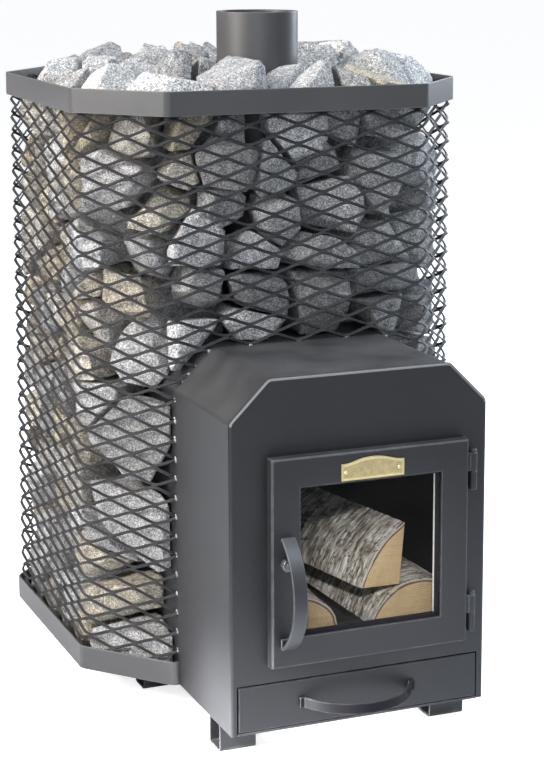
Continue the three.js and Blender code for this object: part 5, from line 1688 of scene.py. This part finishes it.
class STOVE_OT_drawer(Operator):
    """Ease the ash drawer's front and tray and bow its pull"""

    bl_idname = "stove.drawer"
    bl_label = "Ash drawer"

    def execute(self, context):
        span, bow = 0.150, 0.050
        tab = Vector((0.007, 0.0, 0.0))
        low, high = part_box("drawer_pull")
        near = high.y - STRAP_THICKNESS / 2
        middle = (low.x + high.x) / 2
        arc = [Vector((middle + along, near - away, low.z)) for along, away in bow_line(span, bow, 44)]
        pull = ribbon("bowed_pull", [arc[0] - tab, *arc, arc[-1] + tab], (0.0, 0.0, high.z - low.z))
        place(pull, "mesh_paint", "ash_drawer", "black_paint", "drawer_pull")
        ease_copy("drawer_front", 0.0011, "satin_paint", "ash_drawer", "black_paint")
        ease_copy("ash_tray", 0.0004, "sooty_plate", "ash_drawer", "bare_plate")
        return {"FINISHED"}


LOG_FRONT = -0.263
# Bark radius, pith, sweep of the bark in degrees, split corners, place on the grate, yaw and roll
LOGS = {
    "log_right": (0.078, (0.0, -0.018), (57.0, 165.0), [(0.042, 0.0)], (0.128, 0.0, 0.0), 0.04, 0.0),
    "log_left": (0.055, (0.0, 0.0), (0.0, 180.0), [], (-0.046, 0.0, 0.0), -0.03, 0.0),
    "log_top": (0.130, (0.061, -0.028), (118.0, 167.6), [(0.0, 0.0)], (0.095, -0.006, 0.0565), 0.2, 0.09),
}
BARK_STEPS = 64
# Flakes of the bark for each metre round and along the log, and a crack's width as a share of a flake
FLAKES_ROUND, FLAKES_ALONG, CRACK = 38.0, 105.0, 0.16
# Swell of the log, height of a flake above a crack, and depth of a crack inside the bark's radius
BARK_SWELL, BARK_RELIEF, BARK_SINK = 0.0020, 0.0019, 0.0026
# Slices along a log: fine ones near the window, coarse ones behind
LOG_SLICES = [0.0022] * 64 + [0.010] * 20


class STOVE_OT_firewood(Operator):
    """Split three logs and lay them on the grate"""

    bl_idname = "stove.firewood"
    bl_label = "Firewood"

    def execute(self, context):
        grate = Vector((0.0, LOG_FRONT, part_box("log_right")[0].z))
        for seed, (node, (radius, pith, sweep, corners, spot, yaw, roll)) in enumerate(LOGS.items(), 1):
            log = self.split_log(node, radius, pith, sweep, corners)
            self.surface(log, radius, pith, seed)
            log.location = grate + Vector(spot)
            log.rotation_euler = (0.0, roll, yaw)
            settle(log)
            bpy.ops.object.shade_smooth_by_angle(angle=math.radians(38))
            place(log, None, "stove", "firewood", node)
        return {"FINISHED"}

    def split_log(self, node, radius, pith, sweep, corners):
        """A log whose bark sweeps round the pith between two angles, split along straight faces."""
        angles = np.radians(np.linspace(*sweep, BARK_STEPS + 1))
        line = [(pith[0] + radius * math.cos(a), 0.0, pith[1] + radius * math.sin(a)) for a in angles]
        line += [(x, 0.0, z) for x, z in corners]
        log = outline(f"split_{node}", line)
        edit(log)
        bpy.ops.mesh.edge_face_add()
        for step in LOG_SLICES:
            extrude((0.0, step, 0.0))
        merge_and_face_out()
        leave_edit()
        return log

    def flake(self, around, along, seed):
        """Height of the bark between 0 in a crack and 1 on a flake."""
        spot = Vector((around * FLAKES_ROUND, along * FLAKES_ALONG, seed * 7.3))
        waver = spot * 1.7
        spot += Vector((noise.noise(waver), noise.noise(waver + Vector((9.0, 0.0, 0.0))), 0.0)) * 0.7
        gaps, seeds = noise.voronoi(spot)
        edge = min(1.0, (gaps[1] - gaps[0]) / CRACK)
        level = 0.5 + 0.5 * noise.noise(seeds[0] * 3.1)
        fine = noise.fractal(Vector((around * 150.0, along * 260.0, seed)), 0.7, 2.0, 3)
        return min(1.0, max(0.0, edge * (0.55 + 0.45 * level) + 0.18 * fine))

    def surface(self, log, radius, pith, seed):
        """Raises the bark, stores each point's place from the pith and picks each face's finish."""
        mesh = log.data
        places, heights = [], []
        for vertex in mesh.vertices:
            away = Vector((vertex.co.x - pith[0], 0.0, vertex.co.z - pith[1]))
            places += [away.x, vertex.co.y, away.z]
            heights.append(0.0)
            if away.length > radius * 0.995:
                around = math.atan2(away.z, away.x) * radius
                heights[-1] = self.flake(around, vertex.co.y, seed)
                swell = noise.noise(Vector((around * 24.0, vertex.co.y * 9.0, seed * 3.3)))
                raised = BARK_SWELL * swell + BARK_RELIEF * heights[-1] - BARK_SINK
                vertex.co += away.normalized() * raised
        count = len(heights)
        mesh.attributes.new("log_place", "FLOAT_VECTOR", "POINT").data.foreach_set("vector", places)
        mesh.attributes.new("log_radius", "FLOAT", "POINT").data.foreach_set("value", [radius] * count)
        mesh.attributes.new("bark_height", "FLOAT", "POINT").data.foreach_set("value", heights)
        mesh.materials.clear()
        for name in ("bark", "end_grain", "split_face"):
            mesh.materials.append(FINISHES[name])
        for face in mesh.polygons:
            away = math.hypot(face.center.x - pith[0], face.center.z - pith[1])
            if abs(face.normal.y) > 0.9:
                face.material_index = 1
            elif away < radius * 0.93:
                face.material_index = 2


# Main list


class STOVE_PT_panel(Panel):
    """The stove's pieces in the order in which they are made"""

    bl_idname = "STOVE_PT_panel"
    bl_label = "Sauna stove"
    bl_space_type = "VIEW_3D"
    bl_region_type = "UI"
    bl_category = "Stove"

    def draw(self, context):
        for step in STEPS:
            self.layout.operator(step.bl_idname)


STEPS = (
    STOVE_OT_finishes,
    STOVE_OT_stage,
    STOVE_OT_firebox,
    STOVE_OT_flue,
    STOVE_OT_feet,
    STOVE_OT_bands,
    STOVE_OT_mesh,
    STOVE_OT_stones,
    STOVE_OT_door,
    STOVE_OT_nameplate,
    STOVE_OT_hinges,
    STOVE_OT_handle,
    STOVE_OT_drawer,
    STOVE_OT_firewood,
)
GROUPS = {
    "stove_cage": CageSizes,
    "stove_stones": StoneSizes,
    "stove_colours": StoveColours,
    "stove_stage": StageSettings,
}


def register():
    for group in GROUPS.values():
        bpy.utils.register_class(group)
    for key, group in GROUPS.items():
        setattr(bpy.types.Scene, key, PointerProperty(type=group))
    for step in (*STEPS, STOVE_PT_panel):
        bpy.utils.register_class(step)


def unregister():
    for step in (STOVE_PT_panel, *reversed(STEPS)):
        bpy.utils.unregister_class(step)
    for key, group in reversed(GROUPS.items()):
        delattr(bpy.types.Scene, key)
        bpy.utils.unregister_class(group)


def main():
    register()
    for step in STEPS:
        family, action = step.bl_idname.split(".")
        getattr(getattr(bpy.ops, family), action)()
    clear_selection()


if __name__ == "__main__":
    main()
